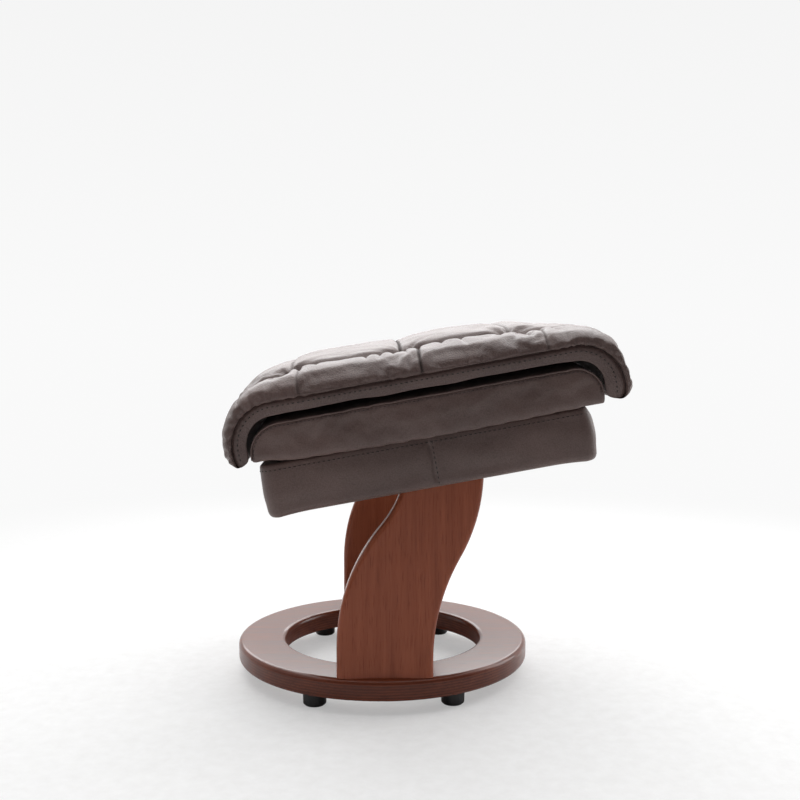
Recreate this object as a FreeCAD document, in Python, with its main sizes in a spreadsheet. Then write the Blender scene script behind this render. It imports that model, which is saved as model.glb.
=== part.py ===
import FreeCAD, Part
import math
import os
import Sketcher

from FreeCAD import Placement, Rotation, Vector

# Storage ottoman: a tilted leather box with a tufted lid, on two S-shaped leg panels and a ring.
# +Z is up, +X points to the high end of the lid and -X to its hinges. The origin is on the floor,
# under the middle of the whole. Sizes are in millimetres and degrees.
# "Along", "across" and "above" are the directions of the tilted box and lid, measured from the
# hinge axis: up the slope, along +Y, and square to the lid.
SIZES = (
    ("ring_margin", 9, "base ring: outer wall beyond the outer faces of the legs"),
    ("ring_width", 60, "base ring: from its outer wall to its hole"),
    ("ring_thickness", 25, "base ring: height"),
    ("ring_edge_round", 6, "base ring: rounding of its four edges"),
    ("ring_centre_back", 46.2, "base ring: centre behind the origin"),
    ("glide_height", 16.5, "glide: floor to ring"),
    ("glide_top_radius", 14, "glide: radius under the ring"),
    ("glide_floor_radius", 13.5, "glide: radius on the floor"),
    ("glide_floor_chamfer", 2, "glide: bevel at the floor"),
    ("glide_recess_radius", 5, "glide: recess for the screw's head"),
    ("glide_recess_depth", 8, "glide: depth of that recess"),
    ("glide_inset", 23, "glides: centres inside the ring's outer wall"),
    ("glide_count", 6, "glides: how many"),
    ("glide_screw_head_radius", 4, "glide screw: head"),
    ("glide_screw_head_height", 3, "glide screw: head"),
    ("glide_screw_shank_radius", 2, "glide screw: shank"),
    ("glide_screw_bite", 14, "glide screw: length in the ring"),
    ("leg_thickness", 25, "leg panel: thickness"),
    ("leg_span", 350, "leg panels: from outer face to outer face"),
    ("leg_foot_back", 54, "leg panel: rear edge of the foot behind the ring's centre"),
    ("leg_foot_width", 110, "leg panel: width on the ring"),
    ("leg_edge_round", 6, "leg panel: rounding of the long edges"),
    ("leg_rear_straight", 35, "right leg, rear edge: upright stretch at the foot"),
    ("leg_far_rear_straight", 64, "left leg, rear edge: upright stretch at the foot"),
    ("leg_rear_lower_radius", 215, "leg panel, rear edge: lower arc"),
    ("leg_rear_upper_radius", 124, "leg panel, rear edge: upper arc"),
    ("leg_rear_lean_angle", 40, "leg panel, rear edge: steepest lean"),
    ("leg_front_straight", 20, "leg panel, front edge: upright stretch at the foot"),
    ("leg_front_lower_radius", 240, "leg panel, front edge: lower arc"),
    ("leg_front_upper_radius", 200, "leg panel, front edge: upper arc"),
    ("leg_front_lean_angle", 29.3, "leg panel, front edge: steepest lean"),
    ("leg_trim_stock", 60, "leg panel: stock above its arcs, sawn off along the box"),
    ("leg_screw_spread", 46, "leg screws: distance between the two of a leg"),
    ("leg_screw_head_radius", 7, "leg screws: head"),
    ("leg_screw_head_height", 3.5, "leg screws: head"),
    ("leg_screw_shank_radius", 3.5, "leg screws: shank"),
    ("leg_screw_bite", 30, "leg screws: length in the leg"),
    ("hinge_back", 185.8, "hinge axis: distance behind the origin"),
    ("hinge_height", 289.4, "hinge axis: height over the floor"),
    ("box_tilt", 10.2, "slope of the box and lid"),
    ("box_setback", 2, "box: rear face ahead of the hinge axis"),
    ("box_length", 366, "box: along the slope"),
    ("box_width", 396, "box: across"),
    ("box_height", 57, "box: rim to underside"),
    ("box_corner_radius", 14, "box: upright corners"),
    ("rim_drop", 3, "box: rim below the hinge axis"),
    ("leather_thickness", 1.5, "leather of the box and the pad"),
    ("cloth_thickness", 1, "linings and dust cover"),
    ("board_thickness", 15, "box: side and end boards"),
    ("bottom_thickness", 9, "box: bottom panel"),
    ("dowel_radius", 4, "box dowels: radius"),
    ("dowel_length", 35, "box dowels: length"),
    ("dowel_depth_in_end", 10, "box dowels: length in the end board"),
    ("dowel_inset", 10, "box dowels: from the boards' upper and lower edges"),
    ("welt_radius", 2, "welt cords"),
    ("box_welt_drop", 5, "box welt: below the rim"),
    ("box_welt_stand", 0.8, "box welt: centre outside the leather"),
    ("hinge_spacing", 220, "hinges: from middle to middle"),
    ("hinge_width", 60, "hinge: length of its knuckles"),
    ("hinge_depth", 15, "hinge: leaf, from the axis"),
    ("hinge_leaf_thickness", 1.6, "hinge: leaf"),
    ("hinge_barrel_radius", 2.6, "hinge: knuckle"),
    ("hinge_pin_radius", 1.3, "hinge: pin"),
    ("hinge_pin_clearance", 0.05, "hinge: pin in the knuckles"),
    ("hinge_knuckle_gap", 0.5, "hinge: between knuckles, and round them"),
    ("hinge_screw_spread", 20, "hinge screws: from one to the next"),
    ("hinge_screw_inset", 9, "hinge screws: from the axis"),
    ("hinge_screw_head_radius", 3.2, "hinge screws: countersunk head"),
    ("hinge_screw_shank_radius", 1.6, "hinge screws: shank"),
    ("hinge_screw_length", 11, "hinge screws: whole length"),
    ("bumper_radius", 5.5, "lid bumpers: radius"),
    ("bumper_gap", 0.3, "lid bumpers: room under the closed lid"),
    ("bumper_spacing", 250, "lid bumpers: from one to the other"),
    ("lid_rise", 3, "lid: underside above the hinge axis"),
    ("lid_board_thickness", 12, "lid: board"),
    ("lid_board_clearance", 1.5, "lid: board inside the pad's leather"),
    ("lid_lining_margin", 8, "lid: bare edge round the lining"),
    ("pad_rear_overhang", 6, "pad: behind the box"),
    ("pad_front_overhang", 19, "pad: ahead of the box"),
    ("pad_width", 420, "pad: across"),
    ("pad_side_height", 41, "pad: at its welts"),
    ("pad_crown", 9, "pad: how much higher its middle is"),
    ("pad_end_bulge", 4, "pad: how far the middle of its ends stands out"),
    ("pad_rear_corner", 36, "pad: upper rear corners of its side panels"),
    ("pad_front_corner", 31, "pad: upper front corners of its side panels"),
    ("pad_welt_stand", 0.5, "pad welts: centre outside the leather"),
    ("topper_gap", 1.5, "topper: room over the pad"),
    ("topper_rear_bend", 37, "topper: inner radius where it turns down at the rear"),
    ("topper_front_bend", 32, "topper: inner radius where it turns down at the front"),
    ("topper_strip_width", 418, "topper: lower strip, across"),
    ("topper_strip_height", 11.5, "topper: lower strip"),
    ("topper_seam_width", 430, "topper: at the seam over the strip"),
    ("topper_crease_width", 280, "topper: from crease to crease"),
    ("topper_roll", 14, "topper: rise of the side rolls over their chord"),
    ("topper_rear_drop", 3, "topper: rear lip below the lid's underside"),
    ("topper_front_drop", 3, "topper: front lip below the lid's underside"),
    ("topper_lip_corner", 16, "topper: how much narrower the lips end, each side"),
    ("tuft_first", 62, "tufts: first row, from the hinge axis"),
    ("tuft_last", 85, "tufts: last row, from the front of the pad"),
    ("tuft_depth", 7, "tufts: how far they pull the creases in"),
    ("tuft_pull", 3, "tufts: how far they pull the middle in"),
    ("crease_rear_height", 42, "topper: creases over the pad, first row"),
    ("crease_front_height", 38, "topper: creases over the pad, last row"),
    ("crown_rear_height", 53, "topper: middle over the pad, first row"),
    ("crown_front_height", 47, "topper: middle over the pad, last row"),
    ("rear_lip_strip", 13, "topper, rear lip: strip"),
    ("rear_lip_crease", 17, "topper, rear lip: at the creases"),
    ("rear_lip_crown", 21, "topper, rear lip: in the middle"),
    ("rear_lip_roll", 4, "topper, rear lip: rise of the side rolls"),
    ("rear_bend_strip", 12, "topper, rear bend: strip"),
    ("rear_bend_crease", 23, "topper, rear bend: at the creases"),
    ("rear_bend_crown", 30, "topper, rear bend: in the middle"),
    ("rear_bend_roll", 11, "topper, rear bend: rise of the side rolls"),
    ("front_lip_strip", 24, "topper, front lip: strip"),
    ("front_lip_crease", 29, "topper, front lip: at the creases"),
    ("front_lip_crown", 32, "topper, front lip: in the middle"),
    ("front_lip_roll", 5, "topper, front lip: rise of the side rolls"),
    ("front_turn_strip", 12.5, "topper, start of the front bend: strip"),
    ("front_turn_crease", 26, "topper, start of the front bend: at the creases"),
    ("front_turn_crown", 31, "topper, start of the front bend: in the middle"),
    ("front_turn_roll", 9, "topper, start of the front bend: rise of the side rolls"),
    ("front_bend_strip", 15, "topper, front bend: strip"),
    ("front_bend_crease", 26, "topper, front bend: at the creases"),
    ("front_bend_crown", 31, "topper, front bend: in the middle"),
    ("front_bend_roll", 9, "topper, front bend: rise of the side rolls"),
    ("lip_end_strip", 5, "topper, ends of the lips: strip"),
    ("lip_end_crease", 8, "topper, ends of the lips: at the creases"),
    ("lip_end_crown", 9, "topper, ends of the lips: in the middle"),
    ("lip_end_roll", 2, "topper, ends of the lips: rise of the side rolls"),
)

doc = FreeCAD.newDocument("storage_ottoman")
sheet = doc.addObject("Spreadsheet::Sheet", "Sizes")
for row, (alias, value, meaning) in enumerate(SIZES, start=1):
    sheet.set(f"A{row}", meaning)
    sheet.set(f"B{row}", str(value))
    sheet.setAlias(f"B{row}", alias)
doc.recompute()

nodes = []


def size(alias):
    return float(sheet.get(alias))


# Levels and places worked out from the sheet, upright part
ring_x = -size("ring_centre_back")
ring_bottom = size("glide_height")
ring_top = ring_bottom + size("ring_thickness")
ring_outer = size("leg_span") / 2 + size("ring_margin")
ring_inner = ring_outer - size("ring_width")
leg_middle = (size("leg_span") - size("leg_thickness")) / 2

# Levels and places worked out from the sheet, tilted part, from the hinge axis
tilted = Placement(
    Vector(-size("hinge_back"), 0, size("hinge_height")),
    Rotation(Vector(0, 1, 0), -size("box_tilt")),
)
skin = size("leather_thickness")
board = size("board_thickness")
rim = -size("rim_drop")
underside = rim - size("box_height")
wood_top = rim - skin
panel_bottom = underside + size("cloth_thickness")
panel_top = panel_bottom + size("bottom_thickness")
box_rear = size("box_setback")
box_front = box_rear + size("box_length")
box_side = size("box_width") / 2
wood_rear, wood_front, wood_side = box_rear + skin, box_front - skin, box_side - skin
room_rear, room_front, room_side = wood_rear + board, wood_front - board, wood_side - board
lid_underside = size("lid_rise")
pad_bottom = lid_underside + size("cloth_thickness")
pad_rear = box_rear - size("pad_rear_overhang")
pad_front = box_front + size("pad_front_overhang")
pad_side = size("pad_width") / 2


def at(along, across, above, turn=Rotation()):
    """Placement in the tilted frame of the box and lid."""
    return tilted.multiply(Placement(Vector(along, across, above), turn))


def keep(piece, node):
    """Names a finished sub-part and puts it on the list to write."""
    piece.Label = node
    nodes.append(piece)
    return piece


# Sketches and features
def new_body(name, placement):
    body = doc.addObject("PartDesign::Body", name)
    body.AllowCompound = True
    body.Placement = placement
    return body


def origin_feature(body, role):
    return next(feature for feature in body.Origin.OriginFeatures if feature.Role == role)


def new_sketch(body, name, plane, lift=0.0):
    sketch = body.newObject("Sketcher::SketchObject", name)
    sketch.AttachmentSupport = [(origin_feature(body, plane), "")]
    sketch.MapMode = "FlatFace"
    sketch.AttachmentOffset = Placement(Vector(0, 0, lift), Rotation())
    return sketch


def line(start, end):
    return Part.LineSegment(Vector(*start), Vector(*end))


def arc(start, middle, end):
    return Part.Arc(Vector(*start), Vector(*middle), Vector(*end))


def draw_loop(sketch, edges):
    """Draws a closed loop of lines and arcs and ties each end to the next start."""
    ends = []
    for edge in edges:
        if isinstance(edge, Part.Arc):
            start, end = edge.StartPoint, edge.EndPoint
            middle = edge.value((edge.FirstParameter + edge.LastParameter) / 2)
            leftward = (middle - start).cross(end - middle).z > 0
            curve = edge.toShape().Curve
            centre, radius = curve.Center, curve.Radius
            first, last = (start, end) if leftward else (end, start)
            first_angle = math.atan2(first.y - centre.y, first.x - centre.x)
            last_angle = math.atan2(last.y - centre.y, last.x - centre.x)
            circle = Part.Circle(centre, Vector(0, 0, 1), radius)
            index = sketch.addGeometry(Part.ArcOfCircle(circle, first_angle, last_angle))
            ends.append((index, 1, 2) if leftward else (index, 2, 1))
        else:
            index = sketch.addGeometry(edge)
            ends.append((index, 1, 2))
    for this, following in zip(ends, ends[1:] + ends[:1]):
        sketch.addConstraint(Sketcher.Constraint("Coincident", this[0], this[2], following[0], following[1]))


def corner_arc(centre, radius, first_angle):
    """A quarter circle, leftward from first_angle in degrees."""
    points = []
    for step in (0, 45, 90):
        angle = math.radians(first_angle + step)
        points.append((centre[0] + radius * math.cos(angle), centre[1] + radius * math.sin(angle)))
    return arc(*points)


def rounded_rectangle(left, right, low, high, radius):
    return [
        line((left + radius, low), (right - radius, low)),
        corner_arc((right - radius, low + radius), radius, -90),
        line((right, low + radius), (right, high - radius)),
        corner_arc((right - radius, high - radius), radius, 0),
        line((right - radius, high), (left + radius, high)),
        corner_arc((left + radius, high - radius), radius, 90),
        line((left, high - radius), (left, low + radius)),
        corner_arc((left + radius, low + radius), radius, 180),
    ]


def rectangle(left, right, low, high):
    corners = [(left, low), (right, low), (right, high), (left, high)]
    return [line(start, end) for start, end in zip(corners, corners[1:] + corners[:1])]


def polygon(points):
    return [line(start, end) for start, end in zip(points, points[1:] + points[:1])]


def pad(body, edges, plane, lift, length, name):
    """Extrudes a loop along its plane's normal by an expression."""
    sketch = new_sketch(body, name + "_sketch", plane, lift)
    draw_loop(sketch, edges)
    feature = body.newObject("PartDesign::Pad", name)
    feature.Profile = sketch
    feature.setExpression("Length", length)
    doc.recompute()
    return feature


def pocket(body, edges, lift, length, name, upward):
    """Cuts a loop out of a body, square to its base plane, by an expression."""
    sketch = new_sketch(body, name + "_sketch", "XY_Plane", lift)
    draw_loop(sketch, edges)
    before = body.Shape.Volume
    feature = body.newObject("PartDesign::Pocket", name)
    feature.Profile = sketch
    feature.setExpression("Length", length)
    feature.Reversed = upward
    doc.recompute()
    assert body.Shape.Volume < before, name
    return feature


def revolve(body, edges, name, axis_x=0.0):
    """Turns a loop in the upright XZ plane round an upright axis."""
    sketch = new_sketch(body, name + "_sketch", "XZ_Plane")
    draw_loop(sketch, edges)
    axis = sketch.addGeometry(line((axis_x, -1), (axis_x, 1)), True)
    sketch.addConstraint(Sketcher.Constraint("Vertical", axis))
    feature = body.newObject("PartDesign::Revolution", name)
    feature.Profile = sketch
    feature.ReferenceAxis = (sketch, ["Axis0"])
    feature.Angle = 360
    doc.recompute()
    return feature


def round_edges(body, base, radius, name, wanted):
    edges = [f"Edge{number}" for number, edge in enumerate(base.Shape.Edges, start=1) if wanted(edge)]
    feature = body.newObject("PartDesign::Fillet", name)
    feature.Base = (base, edges)
    feature.setExpression("Radius", radius)
    doc.recompute()
    return feature


def repeat_round(body, feature, count, name):
    pattern = body.newObject("PartDesign::PolarPattern", name)
    pattern.Originals = [feature]
    pattern.Axis = (origin_feature(body, "Z_Axis"), [""])
    pattern.Angle = 360
    pattern.setExpression("Occurrences", count)
    body.Tip = pattern
    doc.recompute()
    return pattern


def pipe(body, path_edges, path_plane, path_lift, section_place, name):
    """Sweeps a welt's round section along a path; the section lies in the plane its body is based on."""
    path = new_sketch(body, name + "_path", path_plane, path_lift)
    for edge in path_edges:
        path.addGeometry(edge)
    section_plane, section_lift, centre = section_place
    section = new_sketch(body, name + "_section", section_plane, section_lift)
    circle = section.addGeometry(Part.Circle(Vector(*centre), Vector(0, 0, 1), size("welt_radius")))
    radius = section.addConstraint(Sketcher.Constraint("Radius", circle, size("welt_radius")))
    section.setExpression(f"Constraints[{radius}]", "Sizes.welt_radius")
    feature = body.newObject("PartDesign::AdditivePipe", name)
    feature.Profile = section
    feature.Spine = (path, [f"Edge{number + 1}" for number in range(len(path_edges))])
    doc.recompute()
    return feature


# Primitives and booleans
def box(name, corner, length, width, height):
    """A block in the tilted frame, from its lowest corner; its sizes are expressions."""
    block = doc.addObject("Part::Box", name)
    block.setExpression("Length", length)
    block.setExpression("Width", width)
    block.setExpression("Height", height)
    block.Placement = at(*corner)
    return block


def rod(name, radius, height, placement):
    cylinder = doc.addObject("Part::Cylinder", name)
    cylinder.setExpression("Radius", radius)
    cylinder.setExpression("Height", height)
    cylinder.Placement = placement
    return cylinder


def group(name, pieces):
    compound = doc.addObject("Part::Compound", name)
    compound.Links = pieces
    doc.recompute()
    return compound


def fuse(name, pieces):
    fused = doc.addObject("Part::MultiFuse", name)
    fused.Shapes = pieces
    doc.recompute()
    return fused


def cut(name, base, tools):
    """Cuts tools out of a piece, one after the other."""
    for number, tool in enumerate(tools):
        result = doc.addObject("Part::Cut", name if tool is tools[-1] else f"{name}_step{number}")
        result.Base = base
        result.Tool = tool
        doc.recompute()
        assert result.Shape.Volume < base.Shape.Volume, name
        base = result
    return base


def screw(name, kind, shank_length, placement):
    """A flat-headed screw that points along +Z from the top of its head."""
    head = rod(name + "_head", f"Sizes.{kind}_head_radius", f"Sizes.{kind}_head_height", placement)
    below_head = placement.multiply(Placement(Vector(0, 0, size(kind + "_head_height")), Rotation()))
    shank = rod(name + "_shank", f"Sizes.{kind}_shank_radius", shank_length, below_head)
    return fuse(name, [head, shank])


def countersunk_screw(name, placement):
    """A hinge screw that points along +Z; its conical head is as deep as the leaf."""
    head = doc.addObject("Part::Cone", name + "_head")
    head.setExpression("Radius1", "Sizes.hinge_screw_head_radius")
    head.setExpression("Radius2", "Sizes.hinge_screw_shank_radius")
    head.setExpression("Height", "Sizes.hinge_leaf_thickness")
    head.Placement = placement
    below_head = placement.multiply(Placement(Vector(0, 0, size("hinge_leaf_thickness")), Rotation()))
    shank_length = "Sizes.hinge_screw_length - Sizes.hinge_leaf_thickness"
    shank = rod(name + "_shank", "Sizes.hinge_screw_shank_radius", shank_length, below_head)
    return fuse(name, [head, shank])


def loft(name, wires):
    """A smooth solid through closed wires given in the tilted frame."""
    sections = []
    for number, wire in enumerate(wires):
        section = doc.addObject("Part::Feature", f"{name}_section{number}")
        section.Shape = wire
        section.Placement = tilted
        sections.append(section)
    feature = doc.addObject("Part::Loft", name)
    feature.Sections = sections
    feature.Solid = True
    feature.Ruled = False
    doc.recompute()
    return feature


turn_over = Rotation(Vector(1, 0, 0), 180)
lay_across = Rotation(Vector(1, 0, 0), -90)
lay_along = Rotation(Vector(0, 1, 0), 90)


# Base: glides, ring and leg panels
def make_glides():
    place = Placement(Vector(ring_x, 0, 0), Rotation())
    centre = ring_outer - size("glide_inset")
    bevel = size("glide_floor_chamfer")
    recess = size("glide_recess_radius")
    hole = size("glide_screw_shank_radius")
    profile = [
        (centre + recess, 0),
        (centre + size("glide_floor_radius") - bevel, 0),
        (centre + size("glide_floor_radius"), bevel),
        (centre + size("glide_top_radius"), ring_bottom),
        (centre + hole, ring_bottom),
        (centre + hole, size("glide_recess_depth")),
        (centre + recess, size("glide_recess_depth")),
    ]
    body = new_body("floor_glides", place)
    first = revolve(body, polygon(profile), "glide_turned", centre)
    repeat_round(body, first, "Sizes.glide_count", "glide_ring")
    keep(body, "floor_glides")

    head_top = size("glide_recess_depth")
    head_bottom = head_top - size("glide_screw_head_height")
    tip = ring_bottom + size("glide_screw_bite")
    profile = [
        (centre, head_bottom),
        (centre + size("glide_screw_head_radius"), head_bottom),
        (centre + size("glide_screw_head_radius"), head_top),
        (centre + hole, head_top),
        (centre + hole, tip - hole),
        (centre, tip),
    ]
    screws = new_body("glide_screws", place)
    first = revolve(screws, polygon(profile), "glide_screw_turned", centre)
    repeat_round(screws, first, "Sizes.glide_count", "glide_screw_ring")
    return keep(screws, "glide_screws")


def leg_edge(foot_x, edge, straight):
    """The points where an edge of a leg panel starts, turns and stops leaning, and its arcs' middles."""
    lean = math.radians(size(f"leg_{edge}_lean_angle"))
    lower = size(f"leg_{edge}_lower_radius")
    upper = size(f"leg_{edge}_upper_radius")
    half = lean / 2
    start = (foot_x, straight)
    lower_middle = (foot_x + lower * (1 - math.cos(half)), straight + lower * math.sin(half))
    turn = (foot_x + lower * (1 - math.cos(lean)), straight + lower * math.sin(lean))
    centre = (turn[0] - upper * math.cos(lean), turn[1] + upper * math.sin(lean))
    upper_middle = (centre[0] + upper * math.cos(half), centre[1] - upper * math.sin(half))
    return start, lower_middle, turn, upper_middle, (centre[0] + upper, centre[1])


leg_foot_rear = -size("leg_foot_back")
leg_foot_front = leg_foot_rear + size("leg_foot_width")
leg_rear_edges = {
    "right_leg": leg_edge(leg_foot_rear, "rear", size("leg_rear_straight")),
    "left_leg": leg_edge(leg_foot_rear, "rear", size("leg_far_rear_straight")),
}
leg_front_edge = leg_edge(leg_foot_front, "front", size("leg_front_straight"))


def leg_outline(node):
    rear, front = leg_rear_edges[node], leg_front_edge
    top = max(rear[4][1], front[4][1]) + size("leg_trim_stock")
    return [
        line((rear[0][0], 0), (front[0][0], 0)),
        line((front[0][0], 0), front[0]),
        arc(front[0], front[1], front[2]),
        arc(front[2], front[3], front[4]),
        line(front[4], (front[4][0], top)),
        line((front[4][0], top), (rear[4][0], top)),
        line((rear[4][0], top), rear[4]),
        arc(rear[4], rear[3], rear[2]),
        arc(rear[2], rear[1], rear[0]),
        line(rear[0], (rear[0][0], 0)),
    ]


def make_leg_screws():
    """Screws up through the ring, and down through the box's bottom panel, two a leg each way."""
    ring_screws, box_screws = [], []
    foot_centre = ring_x + (leg_foot_rear + leg_foot_front) / 2
    top_centre = ring_x + (leg_rear_edges["right_leg"][4][0] + leg_front_edge[4][0]) / 2
    slope = math.radians(size("box_tilt"))
    top_along = (top_centre + size("hinge_back") + underside * math.sin(slope)) / math.cos(slope)
    ring_shank = "Sizes.ring_thickness + Sizes.leg_screw_bite - Sizes.leg_screw_head_height"
    box_shank = ("Sizes.bottom_thickness + Sizes.cloth_thickness + Sizes.leg_screw_bite"
                 " - Sizes.leg_screw_head_height")
    for side in (-1, 1):
        for end in (-0.5, 0.5):
            number = len(ring_screws)
            shift = end * size("leg_screw_spread")
            upright = Placement(Vector(foot_centre + shift, side * leg_middle, ring_bottom), Rotation())
            ring_screws.append(screw(f"ring_screw{number}", "leg_screw", ring_shank, upright))
            downward = at(top_along + shift, side * leg_middle, panel_top, turn_over)
            box_screws.append(screw(f"box_screw{number}", "leg_screw", box_shank, downward))
    ring_group = keep(group("leg_ring_screws", ring_screws), "leg_ring_screws")
    box_group = keep(group("leg_box_screws", box_screws), "leg_box_screws")
    return ring_group, box_group


def make_ring(screw_groups):
    body = new_body("ring_blank", Placement(Vector(ring_x, 0, ring_bottom), Rotation()))
    turned = revolve(body, rectangle(ring_inner, ring_outer, 0, size("ring_thickness")), "ring_turned")
    round_edges(body, turned, "Sizes.ring_edge_round", "ring_rounded",
                lambda edge: isinstance(edge.Curve, Part.Circle))
    keep(cut("base_ring", body, screw_groups), "base_ring")


def make_leg(node, side, screw_groups, saw):
    across = side * leg_middle
    thickness = size("leg_thickness")
    body = new_body(node + "_blank", Placement(Vector(ring_x, across, ring_top), Rotation()))
    panel = pad(body, leg_outline(node), "XZ_Plane", -thickness / 2, "Sizes.leg_thickness", node + "_panel")
    top = max(vertex.Z for vertex in panel.Shape.Vertexes)

    def long_edge(edge):
        heights = [vertex.Z for vertex in edge.Vertexes]
        depths = [vertex.Y for vertex in edge.Vertexes]
        level = abs(heights[0] - heights[1]) < 1e-6
        return abs(depths[0] - depths[1]) < 1e-6 and not level and min(heights) < top
    round_edges(body, panel, "Sizes.leg_edge_round", node + "_rounded", long_edge)
    keep(cut(node, body, [saw] + screw_groups), node)


# Box: boards, leather, lining and dust cover
def make_dowels():
    """Two dowels in each corner of the box, from the side board's end into the end board."""
    reach = size("dowel_length") - size("dowel_depth_in_end")
    inset = size("dowel_inset")
    dowels = []
    for along in (room_rear - size("dowel_depth_in_end"), room_front - reach):
        for side in (-1, 1):
            for above in (panel_top + inset, wood_top - inset):
                place = at(along, side * (wood_side - board / 2), above, lay_along)
                dowels.append(rod(f"dowel{len(dowels)}", "Sizes.dowel_radius", "Sizes.dowel_length", place))
    return keep(group("box_dowels", dowels), "box_dowels")


def make_boards(dowels, leg_box_screws, hinge_screws):
    radius = size("box_corner_radius") - skin
    board_height = ("Sizes.box_height - Sizes.leather_thickness - Sizes.cloth_thickness"
                    " - Sizes.bottom_thickness")
    rear_outline = [
        line((room_rear, -wood_side), (room_rear, wood_side)),
        line((room_rear, wood_side), (wood_rear + radius, wood_side)),
        corner_arc((wood_rear + radius, wood_side - radius), radius, 90),
        line((wood_rear, wood_side - radius), (wood_rear, radius - wood_side)),
        corner_arc((wood_rear + radius, radius - wood_side), radius, 180),
        line((wood_rear + radius, -wood_side), (room_rear, -wood_side)),
    ]
    front_outline = [
        line((room_front, wood_side), (room_front, -wood_side)),
        line((room_front, -wood_side), (wood_front - radius, -wood_side)),
        corner_arc((wood_front - radius, radius - wood_side), radius, -90),
        line((wood_front, radius - wood_side), (wood_front, wood_side - radius)),
        corner_arc((wood_front - radius, wood_side - radius), radius, 0),
        line((wood_front - radius, wood_side), (room_front, wood_side)),
    ]
    rear = new_body("rear_board_blank", tilted)
    pad(rear, rear_outline, "XY_Plane", panel_top, board_height, "rear_board_sawn")
    keep(cut("box_rear_board", rear, [dowels, hinge_screws]), "box_rear_board")
    front = new_body("front_board_blank", tilted)
    pad(front, front_outline, "XY_Plane", panel_top, board_height, "front_board_sawn")
    keep(cut("box_front_board", front, [dowels]), "box_front_board")

    side_length = "Sizes.box_length - 2 * (Sizes.leather_thickness + Sizes.board_thickness)"
    for node, across in (("box_right_board", -wood_side), ("box_left_board", room_side)):
        blank = box(node + "_blank", (room_rear, across, panel_top),
                    side_length, "Sizes.board_thickness", board_height)
        keep(cut(node, blank, [dowels]), node)

    outline = rounded_rectangle(wood_rear, wood_front, -wood_side, wood_side, radius)
    panel = new_body("bottom_panel_blank", tilted)
    pad(panel, outline, "XY_Plane", panel_bottom, "Sizes.bottom_thickness", "bottom_panel_sawn")
    keep(cut("box_bottom_panel", panel, [leg_box_screws]), "box_bottom_panel")
    dust = new_body("dust_cover_blank", tilted)
    pad(dust, outline, "XY_Plane", underside, "Sizes.cloth_thickness", "dust_cover_cut")
    keep(cut("box_dust_cover", dust, [leg_box_screws]), "box_dust_cover")


def make_box_welt():
    """A cord round the box, sewn into the leather below the rim."""
    stand = size("box_welt_stand")
    radius = size("box_corner_radius") + stand
    level = rim - size("box_welt_drop")
    path = rounded_rectangle(box_rear - stand, box_front + stand, -box_side - stand, box_side + stand, radius)
    start = path[0].StartPoint
    body = new_body("box_welt", tilted)
    pipe(body, path, "XY_Plane", level, ("YZ_Plane", start.x, (start.y, level)), "box_welt_cord")
    return keep(body, "box_welt")


def make_box_leather(welt, hinge_screws):
    cover = new_body("box_cover_blank", tilted)
    outer = rounded_rectangle(box_rear, box_front, -box_side, box_side, size("box_corner_radius"))
    inner = rounded_rectangle(wood_rear, wood_front, -wood_side, wood_side, size("box_corner_radius") - skin)
    room = rectangle(room_rear, room_front, -room_side, room_side)
    pad(cover, outer, "XY_Plane", underside, "Sizes.box_height", "cover_block")
    pocket(cover, inner, underside, "Sizes.box_height - Sizes.leather_thickness", "cover_inside", True)
    pocket(cover, room, wood_top, "2 * Sizes.leather_thickness", "cover_mouth", True)
    keep(cut("box_cover", cover, [welt, hinge_screws]), "box_cover")

    cloth = size("cloth_thickness")
    lining = new_body("box_lining", tilted)
    lining_height = "Sizes.box_height - Sizes.cloth_thickness - Sizes.bottom_thickness"
    pad(lining, room, "XY_Plane", panel_top, lining_height, "lining_block")
    inside = rectangle(room_rear + cloth, room_front - cloth, cloth - room_side, room_side - cloth)
    pocket(lining, inside, rim, lining_height + " - Sizes.cloth_thickness", "lining_inside", False)
    keep(lining, "box_lining")


# Hinges and bumpers
def hinge_centres():
    return (-size("hinge_spacing") / 2, size("hinge_spacing") / 2)


def make_hinge_screws(node, above, turn):
    screws = []
    along = size("hinge_screw_inset")
    for centre in hinge_centres():
        for step in (-1, 0, 1):
            place = at(along, centre + step * size("hinge_screw_spread"), above, turn)
            screws.append(countersunk_screw(f"{node}{len(screws)}", place))
    return keep(group(node, screws), node)


def make_hinge_leaf(name, centre, upper, screws):
    """One leaf with its knuckles: the lower leaf has the two outer ones, the upper leaf the middle one."""
    third = size("hinge_width") / 3
    gap = size("hinge_knuckle_gap")
    plate_bottom = lid_underside - size("hinge_leaf_thickness") if upper else rim
    reach = size("hinge_barrel_radius") + gap
    plate = box(name + "_plate", (reach, centre - 1.5 * third, plate_bottom),
                f"Sizes.hinge_depth - {reach}", "Sizes.hinge_width", "Sizes.hinge_leaf_thickness")
    pieces = [plate]
    spans = [(-third / 2 + gap, third - 2 * gap)] if upper else [(-1.5 * third, third), (third / 2, third)]
    for number, (start, length) in enumerate(spans):
        pieces.append(rod(f"{name}_knuckle{number}", "Sizes.hinge_barrel_radius", f"{length}",
                          at(0, centre + start, 0, lay_across)))
        pieces.append(box(f"{name}_tab{number}", (0, centre + start, plate_bottom),
                          f"{reach}", f"{length}", "Sizes.hinge_leaf_thickness"))
    bore = rod(name + "_bore", "Sizes.hinge_pin_radius + Sizes.hinge_pin_clearance",
               "Sizes.hinge_width", at(0, centre - 1.5 * third, 0, lay_across))
    return cut(name, fuse(name + "_blank", pieces), [bore, screws])


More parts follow.
